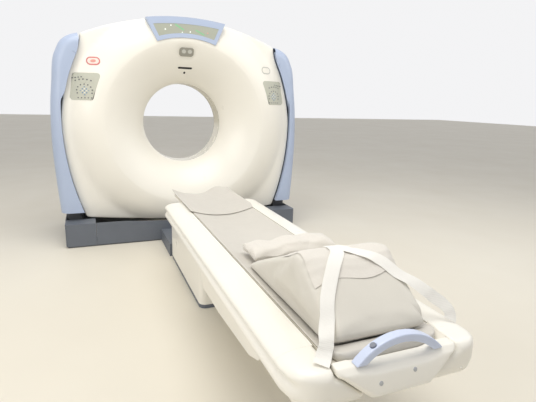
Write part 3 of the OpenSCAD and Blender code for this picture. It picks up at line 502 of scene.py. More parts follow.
def cover_angles():
    """Directions round the cover, closer together at its four corners."""
    corners = [math.atan2(707, 820), math.atan2(-802, 862)]
    corners += [math.pi - a for a in corners]
    base = list(np.linspace(-math.pi, math.pi, 400, endpoint=False))
    for a in corners:
        base += [a + d for d in np.linspace(-0.03, 0.03, 9)]
    base = sorted(((a + math.pi) % (2 * math.pi)) - math.pi for a in base)
    out = [base[0]]
    for a in base[1:]:
        if a - out[-1] > 0.003:
            out.append(a)
    return out


def cover_mesh(name, side):
    """side is -1 for the front half, whose depth runs towards the table, and 1 for the rear half."""
    verts, angles = [], cover_angles()
    for a in angles:
        c, s = math.cos(a), math.sin(a)
        prof = cover_profile(c, s)
        for r, d in prof:
            x, z = r * c, r * s
            if side < 0:
                d -= 7 * math.exp(-((x / 92) ** 2 + ((z - LIGHT_Z) / 60) ** 2) ** 3)
            verts.append((x * MM, ISO_Y + side * d * MM, ISO_Z + z * MM))
    cols = len(prof)
    o = add_object(name, verts, grid_faces(len(angles), cols, wrap_rows=True), "cover_white")
    recalc(o)
    point_along(o, 1, side)
    return solid(o, COVER_T)


def oval_outline(cx, cz, w, h):
    n, pts = 20, []
    for side in (1, -1):
        for i in range(n + 1):
            a = math.radians(-90 + 180 * i / n) + (0 if side > 0 else math.pi)
            pts.append((cx + side * (w - h) / 2 + h / 2 * math.cos(a), cz + h / 2 * math.sin(a)))
    return [(x * MM, ISO_Z + z * MM) for x, z in pts]


def rounded_outline(points, radius):
    """Outline with round corners from corner points in order, counter-clockwise."""
    n, m, out = 8, len(points), []
    for i in range(m):
        p, a, b = (Vector(points[i]), Vector(points[i - 1]), Vector(points[(i + 1) % m]))
        u, v = (a - p).normalized(), (b - p).normalized()
        half = u.angle(v) / 2
        reach = radius / math.tan(half)
        centre = p + (u + v).normalized() * radius / math.sin(half)
        p0, p1 = p + u * reach - centre, p + v * reach - centre
        a0, a1 = math.atan2(p0.y, p0.x), math.atan2(p1.y, p1.x)
        while a1 - a0 > math.pi:
            a1 -= 2 * math.pi
        while a1 - a0 < -math.pi:
            a1 += 2 * math.pi
        for j in range(n + 1):
            t = a0 + (a1 - a0) * j / n
            out.append((centre.x + radius * math.cos(t), centre.y + radius * math.sin(t)))
    return out


PANEL_X, PANEL_Z = 818, 290
STOP_X, STOP_Z, LIGHT_Z = 741, 490, 601


def panel_outline(margin, mirror):
    """The keypad's outline: its foot set outwards and its head inwards, with round corners."""
    top, low = 106 + margin, -106 - margin
    pts = [(-58.5 - margin, low), (113.5 + margin, low), (82.5 + margin, top), (-121.5 - margin, top)]
    pts = rounded_outline(pts, 22 + margin)
    return [(mirror * (PANEL_X + x) * MM, ISO_Z + (PANEL_Z + z) * MM) for x, z in pts]


def hole(name, outline):
    return prism(name, outline, ISO_Y - 0.45, ISO_Y - 0.05)


front = cover_mesh("front_shell", -1)
holes = []
for i, mirror in enumerate((-1, 1)):
    holes.append(hole("cut_panel%d" % i, panel_outline(0.6, mirror)))
    holes.append(hole("cut_stop%d" % i, oval_outline(mirror * STOP_X, STOP_Z, 105, 65)))
light = rounded_outline([(-59.6, -33.6), (59.6, -33.6), (59.6, 33.6), (-59.6, 33.6)], 20)
holes.append(hole("cut_light", [(x * MM, ISO_Z + (LIGHT_Z + z) * MM) for x, z in light]))
holes.append(hole("cut_slot", oval_outline(0, 476, 123, 16)))
holes.append(hole("cut_dot", oval_outline(0, 438, 18.7, 18.6)))
cut(front, holes)
sharp_smooth(front, 40)
dress(front, "gantry", "cover_white", "front_cover")
rear = cover_mesh("rear_shell", 1)
sharp_smooth(rear, 40)
dress(rear, "gantry", "cover_white", "rear_cover")


# ---------------------------------------------------------------- side covers
def flank_x(y, z, gap):
    """Where the side shells may begin: the moving cover's flank and a gap."""
    rho = math.hypot(y, z)
    low = DOWN_C + math.sqrt(max((DOWN_R + gap) ** 2 - rho * rho, 0))
    if z < 0:
        return low
    # the lower flank passes here when the gantry tilts, so the gap opens for it
    high = upper_flank(rho, gap)
    return high + eased(clamp01((0.66 - z / max(rho, 1)) / 0.14)) * max(low - high, 0)


def smooth_line(points, n):
    """Catmull-Rom curve through points, with n samples a span."""
    p = [np.array(q, float) for q in points]
    p = [2 * p[0] - p[1]] + p + [2 * p[-1] - p[-2]]
    out = []
    for i in range(1, len(p) - 2):
        for j in range(n):
            t = j / n
            out.append(0.5 * ((2 * p[i]) + (p[i + 1] - p[i - 1]) * t
                       + (2 * p[i - 1] - 5 * p[i] + 4 * p[i + 1] - p[i + 2]) * t * t
                       + (3 * p[i] - p[i - 1] - 3 * p[i + 1] + p[i + 2]) * t ** 3))
    out.append(p[-2])
    return out


SIDE_IN, SIDE_ROUND, SIDE_DEPTH, SIDE_GAP = 1010, 80, 290, 4
# the middle line of the shell's edge: how far inside SIDE_IN, and its height
SIDE_LINE = [(32, 268), (13, 550), (2, 851), (10, 1130), (33, 1344), (43, 1445), (54, 1507), (66, 1538), (80, 1570),
             (99, 1602), (139, 1627), (207, 1646)]


def side_shell(name, mirror):
    """The fixed lavender shell: round outside, flat towards the table, with a lip along the moving cover."""
    path = smooth_line([(SIDE_IN - x, z) for x, z in SIDE_LINE], 9)
    rows = []
    for i, p in enumerate(path):
        a, b = path[max(i - 1, 0)], path[min(i + 1, len(path) - 1)]
        t = (b - a) / np.linalg.norm(b - a)
        n = np.array([t[1], -t[0]]) if i else np.array([1.0, 0.0])

        def point(phi, n=n, p=p):
            if phi <= math.pi / 2:
                q = p + SIDE_ROUND * math.cos(phi) * n
                return q[0], SIDE_DEPTH - SIDE_ROUND + SIDE_ROUND * math.sin(phi), q[1]
            q = p - (phi - math.pi / 2) * 200 * n
            return q[0], SIDE_DEPTH, q[1]

        def outside(phi):
            x, y, z = point(phi)
            return x > flank_x(y, z - AXIS_Z, SIDE_GAP)

        start = point(0.05)
        if start[0] < flank_x(210, start[2] - AXIS_Z, 8) + 3:
            break
        reach = bisect(outside, 0.05, math.radians(170), 40)
        half = [point(max(reach * j / 18, 1e-6)) for j in range(19)]
        x, y, z = half[-1]
        half += [(min(flank_x(y - d, z - AXIS_Z, SIDE_GAP + 1 + d / 16), x + 22), y - d, z)
                 for d in (4, 20, 42, 64)]
        rows.append([(x, -y, z) for x, y, z in reversed(half)] + half)
    verts = [(mirror * x * MM, ISO_Y + y * MM, z * MM) for row in rows for x, y, z in row]
    o = add_object(name, verts, grid_faces(len(rows), len(rows[0])), "cover_lavender")
    recalc(o)
    point_along(o, 0, mirror)
    solid(o, 0.004, even=False)
    sharp_smooth(o, 40)
    return o


SIDES = (("left", -1), ("right", 1))
for side_name, mirror in SIDES:
    dress(side_shell(side_name + "_side_shell", mirror), "gantry_base", "cover_lavender",
          side_name + "_side_cover")


# ---------------------------------------------------------------- carried-over pieces
def bevel(o, width):
    m = o.modifiers.new("edge", "BEVEL")
    m.width, m.segments = width, 3
    m.limit_method, m.angle_limit = "ANGLE", math.radians(35)
    m.harden_normals = True
    m.use_clamp_overlap = True


SLOT_OF = {s["node"]: s["material_slot"] for s in frame["record"]["subparts"]}
EDGES = dict.fromkeys(("base_left_cover", "base_right_cover", "dock_cover", "display_bezel"), 0.006)
EDGES.update(dict.fromkeys(("base_front_cover", "base_rear_cover"), 0.004))
EDGES.update(dict.fromkeys(("table_frame", "breathing_light", "base_frame", "left_pylon", "right_pylon"), 0.002))
EDGES.update(dict.fromkeys(("pedestal_cover", "left_rail_cover", "right_rail_cover", "belly_cover"), 0.0015))
for name, o in nodes.items():
    o.data.materials.clear()
    o.data.materials.append(M[SLOT_OF[name]])
    sharp_smooth(o, 30)
    if name in EDGES:
        bevel(o, EDGES[name])


# ---------------------------------------------------------------- end cap and pull handle
def softened(node, name, material, voxel, passes):
    """A copy of a node, remeshed and smoothed so that its edges are round."""
    o = copy_of(node, name, material)
    m = o.modifiers.new("remesh", "REMESH")
    m.mode, m.voxel_size = "VOXEL", voxel
    m = o.modifiers.new("smooth", "SMOOTH")
    m.factor, m.iterations = 0.5, passes
    apply_modifiers(o)
    sharp_smooth(o, 60)
    return o


def in_mm(v):
    """A vertex in mm: x, y from the scan plane, and z."""
    return v.co.x / MM, (v.co.y - ISO_Y) / MM, v.co.z / MM


LEAN, LEAN_FROM_Y, LEAN_FROM_Z = 23, -3236, 415
cap = softened("end_cap", "end_cap_smooth", "cover_white", 0.004, 10)
# the face leans back under the handle
for v in cap.data.vertices:
    x, y, z = in_mm(v)
    v.co.y += LEAN * clamp01((LEAN_FROM_Y - y) / 50) * clamp01((z - LEAN_FROM_Z) / 90) ** 1.4 * MM
cap.data.update()
dress(cap, "cradle_slider", "cover_white", "end_cap")
grip = softened("pull_handle", "grip_smooth", "handle_blue", 0.0022, 22)
dress(grip, "cradle_slider", "handle_blue", "pull_handle")


# ---------------------------------------------------------------- table's foot covers
def polygon_distance(px, py, poly):
    """Signed distance from points to a closed outline, negative inside."""
    d = np.full(px.shape, 1e18)
    inside = np.zeros(px.shape, bool)
    for i, (ax, ay) in enumerate(poly):
        bx, by = poly[(i + 1) % len(poly)]
        ex, ey = bx - ax, by - ay
        wx, wy = px - ax, py - ay
        t = np.clip((wx * ex + wy * ey) / (ex * ex + ey * ey), 0, 1)
        d = np.minimum(d, (wx - ex * t) ** 2 + (wy - ey * t) ** 2)
        if ey:
            inside ^= ((ay > py) != (by > py)) & (px < ax + wy * ex / ey)
    return np.where(inside, -np.sqrt(d), np.sqrt(d))


def arc(cx, cz, rx, rz, a0, a1, n):
    """Points of an ellipse from one angle to another, in degrees."""
    return [(cx + rx * math.cos(math.radians(a0 + (a1 - a0) * i / n)),
             cz + rz * math.sin(math.radians(a0 + (a1 - a0) * i / n))) for i in range(n + 1)]


# outlines in mm: across the rail, plain or with the lobe under the cradle, and from the side
GROOVE = [(342.5 - 14 * math.sin(math.pi * i / 10) ** 2, 478 - 3.2 * i) for i in range(1, 10)]
RAIL_SIDE = arc(255, 478, 88, 32, 90, 0, 16) + GROOVE + arc(325, 432, 22, 22, 40, -90, 10)
RAIL_SIDE += [(300, 410), (300, 362), (288, 350)]
PLAIN = [(218, 350), (218, 504), (224, 510)] + RAIL_SIDE
LOBED = [(106, 350), (106, 398), (112, 405), (196, 473), (212, 480), (218, 486), (218, 504), (224, 510)] + RAIL_SIDE
FOOT_SEAM, LOBE_FROM, FOOT_FAR, FOOT_END = 3120.5, 3156.2, 3188, 3272
FOOT_ROWS = (FOOT_SEAM, 3124, 3132, 3140, 3148, 3156, 3157, 3165, 3173, 3181, FOOT_FAR)
SIDE_VIEW = [(3000, 350)] + arc(3122, 440, 150, 90, -90, 0, 12) + arc(3195, 470, 80, 50, 0, 90, 10) + [(3000, 520)]


def foot_form(x, u, z, profile):
    """Distance to the foot cover's smooth form; u runs towards the foot end."""
    k = 0.5 + 23.5 * np.clip((u - 3126) / 50, 0, 1) ** 2

    def blend(a, b):
        h = np.maximum(k - np.abs(a - b), 0) / k
        return np.maximum(a, b) + h * h * k / 4
    plan = np.hypot(np.maximum(x - 226, 0), np.maximum(u - 3146, 0)) - 126
    return blend(blend(polygon_distance(x, z, profile), plan), polygon_distance(u, z, SIDE_VIEW))


def foot_mesh(name, mirror):
    """The foot cover's surface, found along rays from its core: rows across it, then round its end."""
    cx, cz = 240.0, 420.0
    dense = []
    for i, (ax, az) in enumerate(LOBED):
        bx, bz = LOBED[(i + 1) % len(LOBED)]
        n = max(1, int(math.hypot(bx - ax, bz - az) / 6))
        dense += [(ax + (bx - ax) * j / n, az + (bz - az) * j / n) for j in range(n)]
    v = np.array([math.atan2(z - cz, x - cx) for x, z in dense])
    rows = []
    steps = [(u, 0.0, PLAIN if u < LOBE_FROM else LOBED) for u in FOOT_ROWS]
    steps += [(FOOT_FAR, a, LOBED) for a in np.linspace(4, 86, 26)]
    for u0, phi, profile in steps:
        cp, sp = math.cos(math.radians(phi)), math.sin(math.radians(phi))
        lo, hi = np.zeros(len(v)), np.full(len(v), 260.0)
        for _ in range(26):
            t = (lo + hi) / 2
            inside = foot_form(cx + t * cp * np.cos(v), u0 + t * sp, cz + t * cp * np.sin(v), profile) < 0
            lo, hi = np.where(inside, t, lo), np.where(inside, hi, t)
        rows.append(np.stack([cx + lo * cp * np.cos(v), u0 + lo * sp, cz + lo * cp * np.sin(v)], 1))
    n = len(v)
    pts = np.concatenate(rows)
    verts = [(mirror * x * MM, ISO_Y - u * MM, z * MM) for x, u, z in pts]
    pole = len(verts)
    verts.append((mirror * cx * MM, ISO_Y - FOOT_END * MM, cz * MM))
    faces = grid_faces(len(rows), n, wrap_cols=True)
    last = (len(rows) - 1) * n
    faces += [(last + (j + 1) % n, last + j, pole) for j in range(n)]
    faces.append(tuple(range(n)))
    o = recalc(add_object(name, verts, faces, "cover_white"))
    sharp_smooth(o, 50)
    return o


for side_name, mirror in SIDES:
    dress(foot_mesh(side_name + "_foot_shell", mirror), "table_top", "cover_white", side_name + "_foot_cover")


# ---------------------------------------------------------------- cushions
PAD_MID, PAD_R, PAD_HALF, PAD_END, PAD_CORNER = 481.0, 713.3, 208.0, 3212, 66
# the cradle's inner face under the pad
CRADLE_MID, CRADLE_R = 916, 459.7


def pad_top(x):
    """Height of the saddle-shaped pad's top, in mm."""
    x = np.minimum(np.abs(x), 235)
    return PAD_MID + PAD_R - np.sqrt(PAD_R * PAD_R - x * x)


def end_rise(x, y):
    """How far the pad's thick foot end stands above the saddle, in mm."""
    return eased(np.clip((-y - 3126) / 40, 0, 1)) * np.maximum(521 - pad_top(x), 0)


def pad_halves(y):
    """The pad's two sides at y, with round corners at the foot end."""
    into = max(min(PAD_END + y, PAD_CORNER), 0.0)
    half = PAD_HALF - PAD_CORNER + math.sqrt(PAD_CORNER ** 2 - (PAD_CORNER - into) ** 2)
    return -half, half


def ripple(x, y):
    """Slow unevenness of soft surfaces, about one either way."""
    return (np.sin(x * 0.021 + 1.3) * np.sin(y * 0.0093 + 0.4) + 0.6 * np.sin(x * 0.043 + y * 0.017 + 2.1)
            + 0.4 * np.sin(y * 0.051 - x * 0.012)) / 2


def slab(name, ys, halves, top, thick, edge, material):
    """A soft slab: rows along Y, each closed round its rim, thinned to nothing at both ends."""
    verts, across = [], 44
    for i, y in enumerate(ys):
        near_end = min(i, len(ys) - 1 - i)
        fall = (0.12, 0.55, 0.8, 0.94, 1.0)[min(near_end, 4)]
        left, right = halves(y)
        xs = left + (right - left) * (1 - np.cos(np.linspace(0, math.pi, across))) / 2
        rim = np.minimum(np.abs(xs - left), np.abs(right - xs))
        round_off = np.sqrt(np.clip(1 - (1 - np.minimum(rim / edge, 1)) ** 2, 0.02, 1))
        t, half = thick(xs, y), 0.5 * round_off * fall
        mid = top(xs, y) - t / 2
        verts += [(x * MM, ISO_Y + y * MM, (m + a * h) * MM) for x, m, a, h in zip(xs, mid, t, half)]
        verts += [(x * MM, ISO_Y + y * MM, (m - a * h) * MM) for x, m, a, h in
                  list(zip(xs, mid, t, half))[::-1]]
    n = 2 * across
    faces = grid_faces(len(ys), n, wrap_cols=True)
    faces += [tuple(range(n)), tuple(range(len(ys) * n - 1, len(ys) * n - n - 1, -1))]
    o = recalc(add_object(name, verts, faces, material))
    sharp_smooth(o, 70)
    return o


def end_steps(y0, y1, n):
    """Places along a slab from y0 to y1, close together at both ends."""
    inner = list(np.linspace(y0 - 12, y1 + 12, n))
    return [y0, y0 - 2, y0 - 5, y0 - 9] + inner + [y1 + 9, y1 + 5, y1 + 2, y1]


def pad_crown(x, y):
    return pad_top(x) + end_rise(x, y) + 0.7 * ripple(x, y) - 0.5


def pad_thick(x, y):
    return pad_top(x) + end_rise(x, y) - (CRADLE_MID - np.sqrt(CRADLE_R ** 2 - x * x)) - 0.8


pad = slab("cradle_cushion", end_steps(-815, -3080, 110)[:-4] + end_steps(-3090, -PAD_END, 20)[4:],
           pad_halves, pad_crown, pad_thick, 7, "cushion_vinyl")
MAT_HALF, MAT_T = 226.0, 8.6


def mat_top(x, y):
    """The head mat's top: it lies in the saddle, and its head end curls up in two ears."""
    z = pad_top(x) + 9.5 + 0.8 * ripple(x * 1.7, y)
    t = np.clip((y + 935) / 155, 0, 1)
    z = z + t ** 1.5 * (44 * np.exp(-((x - 124) / 75) ** 2) + 10 * np.exp(-((x + 222) / 45) ** 2))
    return z - 3.5 * np.exp(-((y + 935) / 7) ** 2) - 2.0 * np.exp(-((y + 905) / 12) ** 2)


def mat_halves(y):
    k = np.clip((-y - 1330) / 130, 0, 1)
    return -MAT_HALF, MAT_HALF - 30 * k * k


mat = slab("head_cushion", end_steps(-782, -1440, 70), mat_halves, mat_top,
           lambda x, y: np.full_like(x, MAT_T), 5, "cushion_vinyl")
# the near edge runs aslant and bows towards the foot end in the middle
for v in mat.data.vertices:
    x, y, z = in_mm(v)
    across = x / MAT_HALF
    v.co.y -= clamp01((-y - 1150) / 290) * (22 * math.cos(across * math.pi / 2) - 10 * across) * MM
mat.data.update()


def plump(o, voxel, cap, floor, pressure=4.0, passes=4):
    """Remeshes a soft piece and swells it with a cloth simulation; no point moves further than cap."""
    m = o.modifiers.new("remesh", "REMESH")
    m.mode, m.voxel_size = "VOXEL", voxel
    apply_modifiers(o)
    me = o.data
    count = len(me.vertices)
    start = np.empty(count * 3)
    me.vertices.foreach_get("co", start)
    start = start.reshape(-1, 3)
    scene = bpy.context.scene
    c = o.modifiers.new("cloth", "CLOTH")
    for key, value in (("quality", 4), ("mass", 0.3), ("tension_stiffness", 15), ("compression_stiffness", 15),
                       ("shear_stiffness", 5), ("bending_stiffness", 1.5), ("use_pressure", True),
                       ("uniform_pressure_force", pressure)):
        setattr(c.settings, key, value)
    c.settings.effector_weights.gravity = 0
    c.collision_settings.use_collision = False
    c.collision_settings.use_self_collision = False
    for f in range(1, 21):
        scene.frame_set(f)
    dg = bpy.context.evaluated_depsgraph_get()
    moved = o.evaluated_get(dg).to_mesh()
    end = np.empty(count * 3)
    moved.vertices.foreach_get("co", end)
    end = end.reshape(-1, 3)
    o.evaluated_get(dg).to_mesh_clear()
    o.modifiers.clear()
    scene.frame_set(1)
    step = end - start
    size = np.linalg.norm(step, axis=1, keepdims=True)
    end = start + step * np.minimum(1, cap / np.maximum(size, 1e-9))
    low = np.array([floor(x / MM, (y - ISO_Y) / MM) for x, y in end[:, :2]]) * MM
    end[:, 2] = np.maximum(end[:, 2], low)
    me.vertices.foreach_set("co", end.ravel())
    me.update()
    s = o.modifiers.new("smooth", "SMOOTH")
    s.factor, s.iterations = 0.5, passes
    s = o.modifiers.new("finer", "SUBSURF")
    s.levels = s.render_levels = 1
    apply_modifiers(o)
    sharp_smooth(o, 80)
    return o


def pad_floor(x, y):
    return float(pad_top(np.float64(x)) + end_rise(np.float64(x), y)) + 0.8


def pillow_floor(x, y):
    return max(pad_floor(x, y), 511.0) if abs(x) < 216 else 511.2


LEG_HALF, LEG_END, LEG_CORNER, NOSE_FROM, NOSE_LIFT = 200.0, 3181.0, 62.0, 3112.0, 7.0


def shape_leg(o):
    """Rounds the foot end's corners in plan, and lifts the nose a little off the pad's thick end."""
    cx, cy = LEG_HALF - LEG_CORNER, LEG_CORNER - LEG_END
    for v in o.data.vertices:
        x, y, z = in_mm(v)
        dx, dy = abs(x) - cx, cy - y
        if dx > 0 and dy > 0:
            k = max(dx, dy) / math.hypot(dx, dy)
            x, y = math.copysign(cx + dx * k, x), cy - dy * k
        up = clamp01((-NOSE_FROM - y) / 62.0)
        z += up * up * NOSE_LIFT * (1 + clamp01(1 - (z - pad_floor(x, y)) / 30.0))
        v.co = (x * MM, ISO_Y + y * MM, z * MM)
    o.data.update()


def shape_pillow(o):
    """Lets the pillow's top sag in three places, with small lumps."""
    for v in o.data.vertices:
        x, y, z = in_mm(v)
        sag = 12 * math.exp(-((x + 110) / 60) ** 2) + 17 * math.exp(-((x + 20) / 50) ** 2)
        sag += 9 * math.exp(-((x - 150) / 60) ** 2) * (0.5 + 0.5 * math.sin(y / 30))
        v.co.z -= clamp01((z - 520) / 30) * (sag + 2.2 * math.sin(x / 19 + y / 31)) * MM
    o.data.update()


wedge = plump(copy_of("knee_wedge", "leg_cushion", "wedge_vinyl"), 0.0075, 0.009, pad_floor, passes=16)
shape_leg(wedge)
pillow = plump(copy_of("pillow", "soft_pillow", "sheet_fabric"), 0.006, 0.014, pillow_floor, 5.0)
shape_pillow(pillow)


# ---------------------------------------------------------------- cover on the leg cushion and straps
def surface_of(*objects):
    verts, faces = [], []
    for o in objects:
        base = len(verts)
        verts += [v.co.copy() for v in o.data.vertices]
        faces += [tuple(base + i for i in p.vertices) for p in o.data.polygons]
    return BVHTree.FromPolygons(verts, faces)


LEG = surface_of(wedge)
RIDGE_Y, RIDGE_Z = -2917, 727


def on_leg(x, back, lift):
    """Point over the leg cushion, back mm behind the ridge towards the foot end, negative towards the head."""
    a = math.radians(max(-24.0, min(36.2, back * 1.6)))
    out = Vector((0, -math.sin(a), math.cos(a)))
    z = RIDGE_Z - abs(back) * (0.70 if back > 0 else 0.43)
    p = Vector((x * MM, ISO_Y + (RIDGE_Y - back) * MM, z * MM))
    hit = LEG.ray_cast(p + out * 0.08, -out, 0.2)
    if hit[0] is None:
        return None
    return hit[0] + out * lift * MM


def cover_sheet():
    """The thin sheet over the ridge, with low cross folds and an uneven lower edge."""
    rows, cols, verts = 46, 48, []
    for i in range(rows):
        back = -150 + 252 * i / (rows - 1)
        for j in range(cols):
            x = -170 + 348 * j / (cols - 1)
            b = back
            if back > 60:
                b += (back - 60) / 42 * (9 * math.sin(x / 41 + 0.6) - x * 0.05)
            fold = 1.6 + 1.5 * math.exp(-((back - 30 - 6 * math.sin(x / 50)) / 5) ** 2)
            fold += 1.4 * math.exp(-((back - 62 - 5 * math.sin(x / 37 + 1)) / 6) ** 2)
            fold += 0.7 * (1 + math.sin(x / 33 + back / 17))
            p = on_leg(x, b, fold)
            verts.append(p if p is not None else Vector((x * MM, ISO_Y + (RIDGE_Y - b) * MM, 0.6)))
    o = add_object("leg_sheet", verts, grid_faces(rows, cols), "sheet_fabric")
    recalc(o)
    point_along(o, 2, 1)
    return o


leg_sheet = cover_sheet()
SOFT = surface_of(wedge, leg_sheet)


STRAP_W, STRAP_T = 48, 2.0


def strap_mesh(name, points):
    """A flat woven band laid through points in mm, level across, kept above the cushion and its cover."""
    path = smooth_line(points, 8)
    cols, rows, lifts = 9, [], []
    for i, p in enumerate(path):
        a, b = path[max(i - 1, 0)], path[min(i + 1, len(path) - 1)]
        t = Vector(b - a).normalized()
        up = Vector((0, -t.z, t.y))
        up = up if up.z > 0 or (abs(up.z) < 0.3 and up.y < 0) else -up
        up.normalize()
        across = t.cross(up).normalized()
        across = across if across.x > 0 else -across
        line, lift = [], 0.0
        for j in range(cols):
            q = Vector(p) + across * ((j / (cols - 1) - 0.5) * STRAP_W)
            q = Vector((q.x * MM, ISO_Y + q.y * MM, q.z * MM))
            hit = SOFT.ray_cast(q + up * 0.05, -up, 0.1)
            if hit[0] is not None:
                d = (hit[0] - q).dot(up) + 0.0014
                lift = max(lift, d if d < 0.02 else 0.0)
            line.append((q, up))
        rows.append(line)
        lifts.append(lift)
    lifts = np.array(lifts)
    widest = np.array([lifts[max(i - 3, 0):i + 4].max() for i in range(len(lifts))])
    even = np.convolve(np.pad(widest, 3, mode="edge"), np.ones(7) / 7, mode="valid")
    verts = []
    for line, d in zip(rows, even):
        line = [(q + up * float(d), up, up * STRAP_T * MM * (0.5 if 0 < j < cols - 1 else 0.25))
                for j, (q, up) in enumerate(line)]
        verts += [q + half for q, up, half in line]
        verts += [q - half + up * 0.001 for q, up, half in reversed(line)]
    n = 2 * cols
    faces = grid_faces(len(rows), n, wrap_cols=True)
    faces += [tuple(range(n)), tuple(range(len(rows) * n - 1, len(rows) * n - n - 1, -1))]
    o = recalc(add_object(name, verts, faces, "strap_fabric"))
    sharp_smooth(o, 60)
    return o


def slope_mm(*spots):
    """Strap points in mm on the leg cushion, from spots of x and the distance behind its ridge."""
    on = [on_leg(x, back, 1.5) for x, back in spots]
    return [(x, (p.y - ISO_Y) / MM, p.z / MM) for (x, back), p in zip(spots, on)]


left_strap = strap_mesh("left_strap", slope_mm(
    (-22, -60), (-25, -25), (-28, 0), (-42, 22), (-87, 68), (-150, 151), (-176, 205)) + [
    (-200, -3166, 560), (-208, -3182, 543), (-218, -3192, 529), (-231, -3206, 518.5), (-247, -3224, 512.8)])
right_strap = strap_mesh("right_strap", slope_mm(
    (0, -60), (10, -25), (19, 0), (40, 20), (82, 46), (116, 71), (150, 108)) + [
    (196, -3062, 634), (232, -3086, 607), (262, -3100, 583), (290, -3113, 562), (305, -3126, 543),
    (308, -3135, 526), (299, -3143, 513.8)])

dress(pad, "cradle_slider", "cushion_vinyl", "cradle_pad")
dress(mat, "cradle_slider", "cushion_vinyl", "head_mat")
dress(wedge, "cradle_slider", "cushion_vinyl", "knee_wedge")
dress(pillow, "cradle_slider", "sheet_fabric", "pillow")
dress(leg_sheet, "cradle_slider", "sheet_fabric")
dress(left_strap, "cradle_slider", "strap_fabric", "straps")
dress(right_strap, "cradle_slider", "strap_fabric")


# ---------------------------------------------------------------- keys, display and lenses
def hit_front(tree, x, z):
    """Nearest point and normal of a surface at x and z, in mm from the bore's centre, seen from the table."""
    hit = tree.ray_cast(Vector((x * MM, ISO_Y - 0.7, ISO_Z + z * MM)), Vector((0, 1, 0)), 1.2)
    return hit[0], hit[1]


def world_tree(o):
    """An object's surface in the world, for ray casts."""
    m = o.matrix_world
    return BVHTree.FromPolygons([m @ v.co for v in o.data.vertices], [tuple(p.vertices) for p in o.data.polygons])


def button(verts, faces, at, normal, wide, high, proud):
    """Adds a low domed key with a round edge to a mesh; wide, high and proud in mm."""
    n = 20
    up = (Vector((0, 0, 1)) - normal * normal.z).normalized()
    right = up.cross(normal).normalized()
    base = len(verts)
    for scale, lift in ((1.0, -0.4), (1.0, proud * 0.55), (0.93, proud * 0.9), (0.78, proud), (0.3, proud * 1.04)):
        for i in range(n):
            a = 2 * math.pi * i / n
            verts.append(at + (right * (math.cos(a) * wide / 2 * scale) + up * (math.sin(a) * high / 2 * scale)
                               + normal * lift) * MM)
    for r in range(4):
        for i in range(n):
            faces.append((base + r * n + i, base + r * n + (i + 1) % n, base + (r + 1) * n + (i + 1) % n,
                          base + (r + 1) * n + i))
    faces.append(tuple(base + 4 * n + i for i in range(n)))
    faces.append(tuple(base + i for i in range(n))[::-1])


KEY_SLOT = {"key_dark": "dark_plastic", "key_blue": "handle_blue", "key_white": "stop_pale"}


def buttons(name, tree, spots, material, proud=1.4):
    """One mesh of keys or lamps on a gantry surface, at spots of x, z, width and height in mm."""
    verts, faces = [], []
    for x, z, wide, high in spots:
        at, normal = hit_front(tree, x, z)
        if at is not None:
            button(verts, faces, at, normal if normal.y < 0 else -normal, wide, high, proud)
    o = recalc(add_object(name, verts, faces, material))
    sharp_smooth(o, 50)
    dress(o, "gantry", KEY_SLOT.get(material, "window_grey"))


moulded("key_dark", srgb(104, 106, 108), rough=0.4)
moulded("key_blue", srgb(112, 146, 178), rough=0.4)
moulded("key_white", srgb(240, 240, 236), rough=0.4)
glowing("lamp_green", srgb(96, 190, 128), 0.25)
glowing("lamp_white", srgb(244, 248, 244), 0.35)
glowing("lamp_red", srgb(214, 150, 140), 0.15)
moulded("lens_pale", srgb(206, 206, 200), rough=0.25)

for side_name, mirror in SIDES:
    tree = world_tree(nodes[side_name + "_control_panel"])
    cx = mirror * PANEL_X
    dark = [(cx + mirror * (18 + 22 * i), PANEL_Z + 74 - 3 * i, 13, 10) for i in range(4)]
    dark += [(cx + mirror * (-52 + 29 * i), PANEL_Z + 46 + 10 * math.sin(i * 0.8), 14, 12) for i in range(5)]
    for i in range(9):
        a = math.radians(200 - 220 * i / 8)
        dark.append((cx + 58 * math.cos(a), PANEL_Z - 34 + 52 * math.sin(a), 12, 11))
    dark += [(cx - 50 + 25 * i, PANEL_Z - 88, 12, 9) for i in range(5)]
    buttons(side_name + "_keys", tree, dark, "key_dark")
    blue, white = [], []
    for i in range(-2, 3):
        for j in range(-2, 3):
            if abs(i) + abs(j) <= 2:
                spot = (cx + i * 15, PANEL_Z - 34 + j * 15, 11, 11)
                (white if (i + j) % 2 else blue).append(spot)
    buttons(side_name + "_keys_blue", tree, blue, "key_blue")
    buttons(side_name + "_keys_white", tree, white, "key_white")

screen = world_tree(nodes["display_window"])
green = [(-92 + 7 * i, 808 - 4 * i, 5, 15) for i in range(10)]
green += [(76 + 7.5 * i, 776 - 3.5 * i, 5, 14) for i in range(10)]
buttons("screen_green", screen, green, "lamp_green", 0.5)
buttons("screen_white", screen, [(-178, 766, 12, 12), (-132, 800, 11, 11), (27, 760, 11, 11), (-40, 752, 10, 8)],
        "lamp_white", 0.5)
buttons("screen_red", screen, [(176, 762, 13, 9)], "lamp_red", 0.5)
buttons("light_lenses", world_tree(nodes["breathing_light"]), [(-24, 604, 36, 34), (26, 604, 36, 34)],
        "lens_pale", 1.0)
screws, faces = [], []
cap_tree = world_tree(cap)
for x, z in ((-81, 454), (41, 469)):
    hit = cap_tree.ray_cast(Vector((x * MM, ISO_Y - 3.5, z * MM)), Vector((0, 1, 0)), 1.0)
    if hit[0] is not None:
        out = hit[1] if hit[1].y < 0 else -hit[1]
        button(screws, faces, hit[0], out, 14, 14, 1.0)
        button(screws, faces, hit[0] + hit[1] * 0.001, out, 5, 5, 0.8)
dress(recalc(add_object("cap_screws", screws, faces, "bearing_steel")), "cradle_slider", "bearing_steel")
buttons("left_stop_centre", world_tree(nodes["left_estop_button"]), [(-STOP_X, STOP_Z, 46, 24)], "lamp_red", 1.2)

bpy.context.view_layer.update()


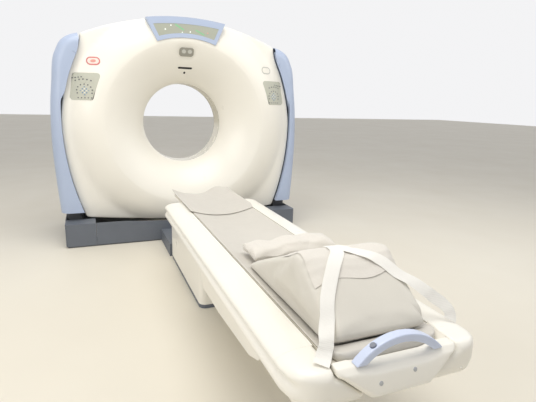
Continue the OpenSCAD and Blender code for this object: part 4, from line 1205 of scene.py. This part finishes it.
# ---------------------------------------------------------------- floor, backdrop and light
def add_stage():
    k = Nodes("floor")
    wide = k.ranged(k.noise(0.7, 3), 0.0, 1.0)
    col = k.mixed(wide, srgb(226, 220, 206), srgb(232, 227, 214))
    k.finish(col, k.ranged(k.noise(3, 4), 0.42, 0.58), k.bump(k.noise(300, 2), 0.05, 0.001), spec=0.3)
    me = bpy.data.meshes.new("floor")
    half = 30
    me.from_pydata([(-half, -half, 0), (half, -half, 0), (half, half, 0), (-half, half, 0)], [], [(0, 1, 2, 3)])
    me.materials.append(k.m)
    o = bpy.data.objects.new("floor", me)
    bpy.context.scene.collection.objects.link(o)


def add_world():
    """Even light on the object, and a near-white background for the camera and in reflections."""
    w = bpy.data.worlds.new("world")
    bpy.context.scene.world = w
    w.use_nodes = True
    t = w.node_tree
    bg = t.nodes["Background"]
    bg.inputs["Color"].default_value = (0.95, 0.95, 0.96, 1)
    path = t.nodes.new("ShaderNodeLightPath")
    seen = path.outputs["Is Camera Ray"]
    for ray in ("Is Transmission Ray", "Is Glossy Ray"):
        either = t.nodes.new("ShaderNodeMath")
        either.operation = "MAXIMUM"
        t.links.new(seen, either.inputs[0])
        t.links.new(path.outputs[ray], either.inputs[1])
        seen = either.outputs[0]
    strength = t.nodes.new("ShaderNodeMapRange")
    strength.inputs["To Min"].default_value = 0.51
    strength.inputs["To Max"].default_value = 0.95
    t.links.new(seen, strength.inputs["Value"])
    t.links.new(strength.outputs[0], bg.inputs["Strength"])


def area(name, where, towards, size, power, colour):
    data = bpy.data.lights.new(name, "AREA")
    data.shape, data.size = "DISK", size
    data.energy, data.color = power, colour
    o = bpy.data.objects.new(name, data)
    bpy.context.scene.collection.objects.link(o)
    o.location = where
    o.rotation_mode = "QUATERNION"
    o.rotation_quaternion = (Vector(towards) - Vector(where)).to_track_quat("-Z", "Y")


add_stage()
add_world()
area("ceiling", (-0.4, -0.6, 4.6), (0, 0.3, 0.5), 4.0, 126, (1.0, 0.97, 0.91))
area("left", (-4.0, -2.6, 2.6), (0, 0.6, 0.8), 3.0, 62, (1.0, 0.97, 0.92))
area("right", (3.6, -1.2, 3.0), (0, 0.2, 0.7), 3.0, 32, (0.98, 0.98, 0.98))

bpy.context.scene.view_settings.view_transform = "Standard"
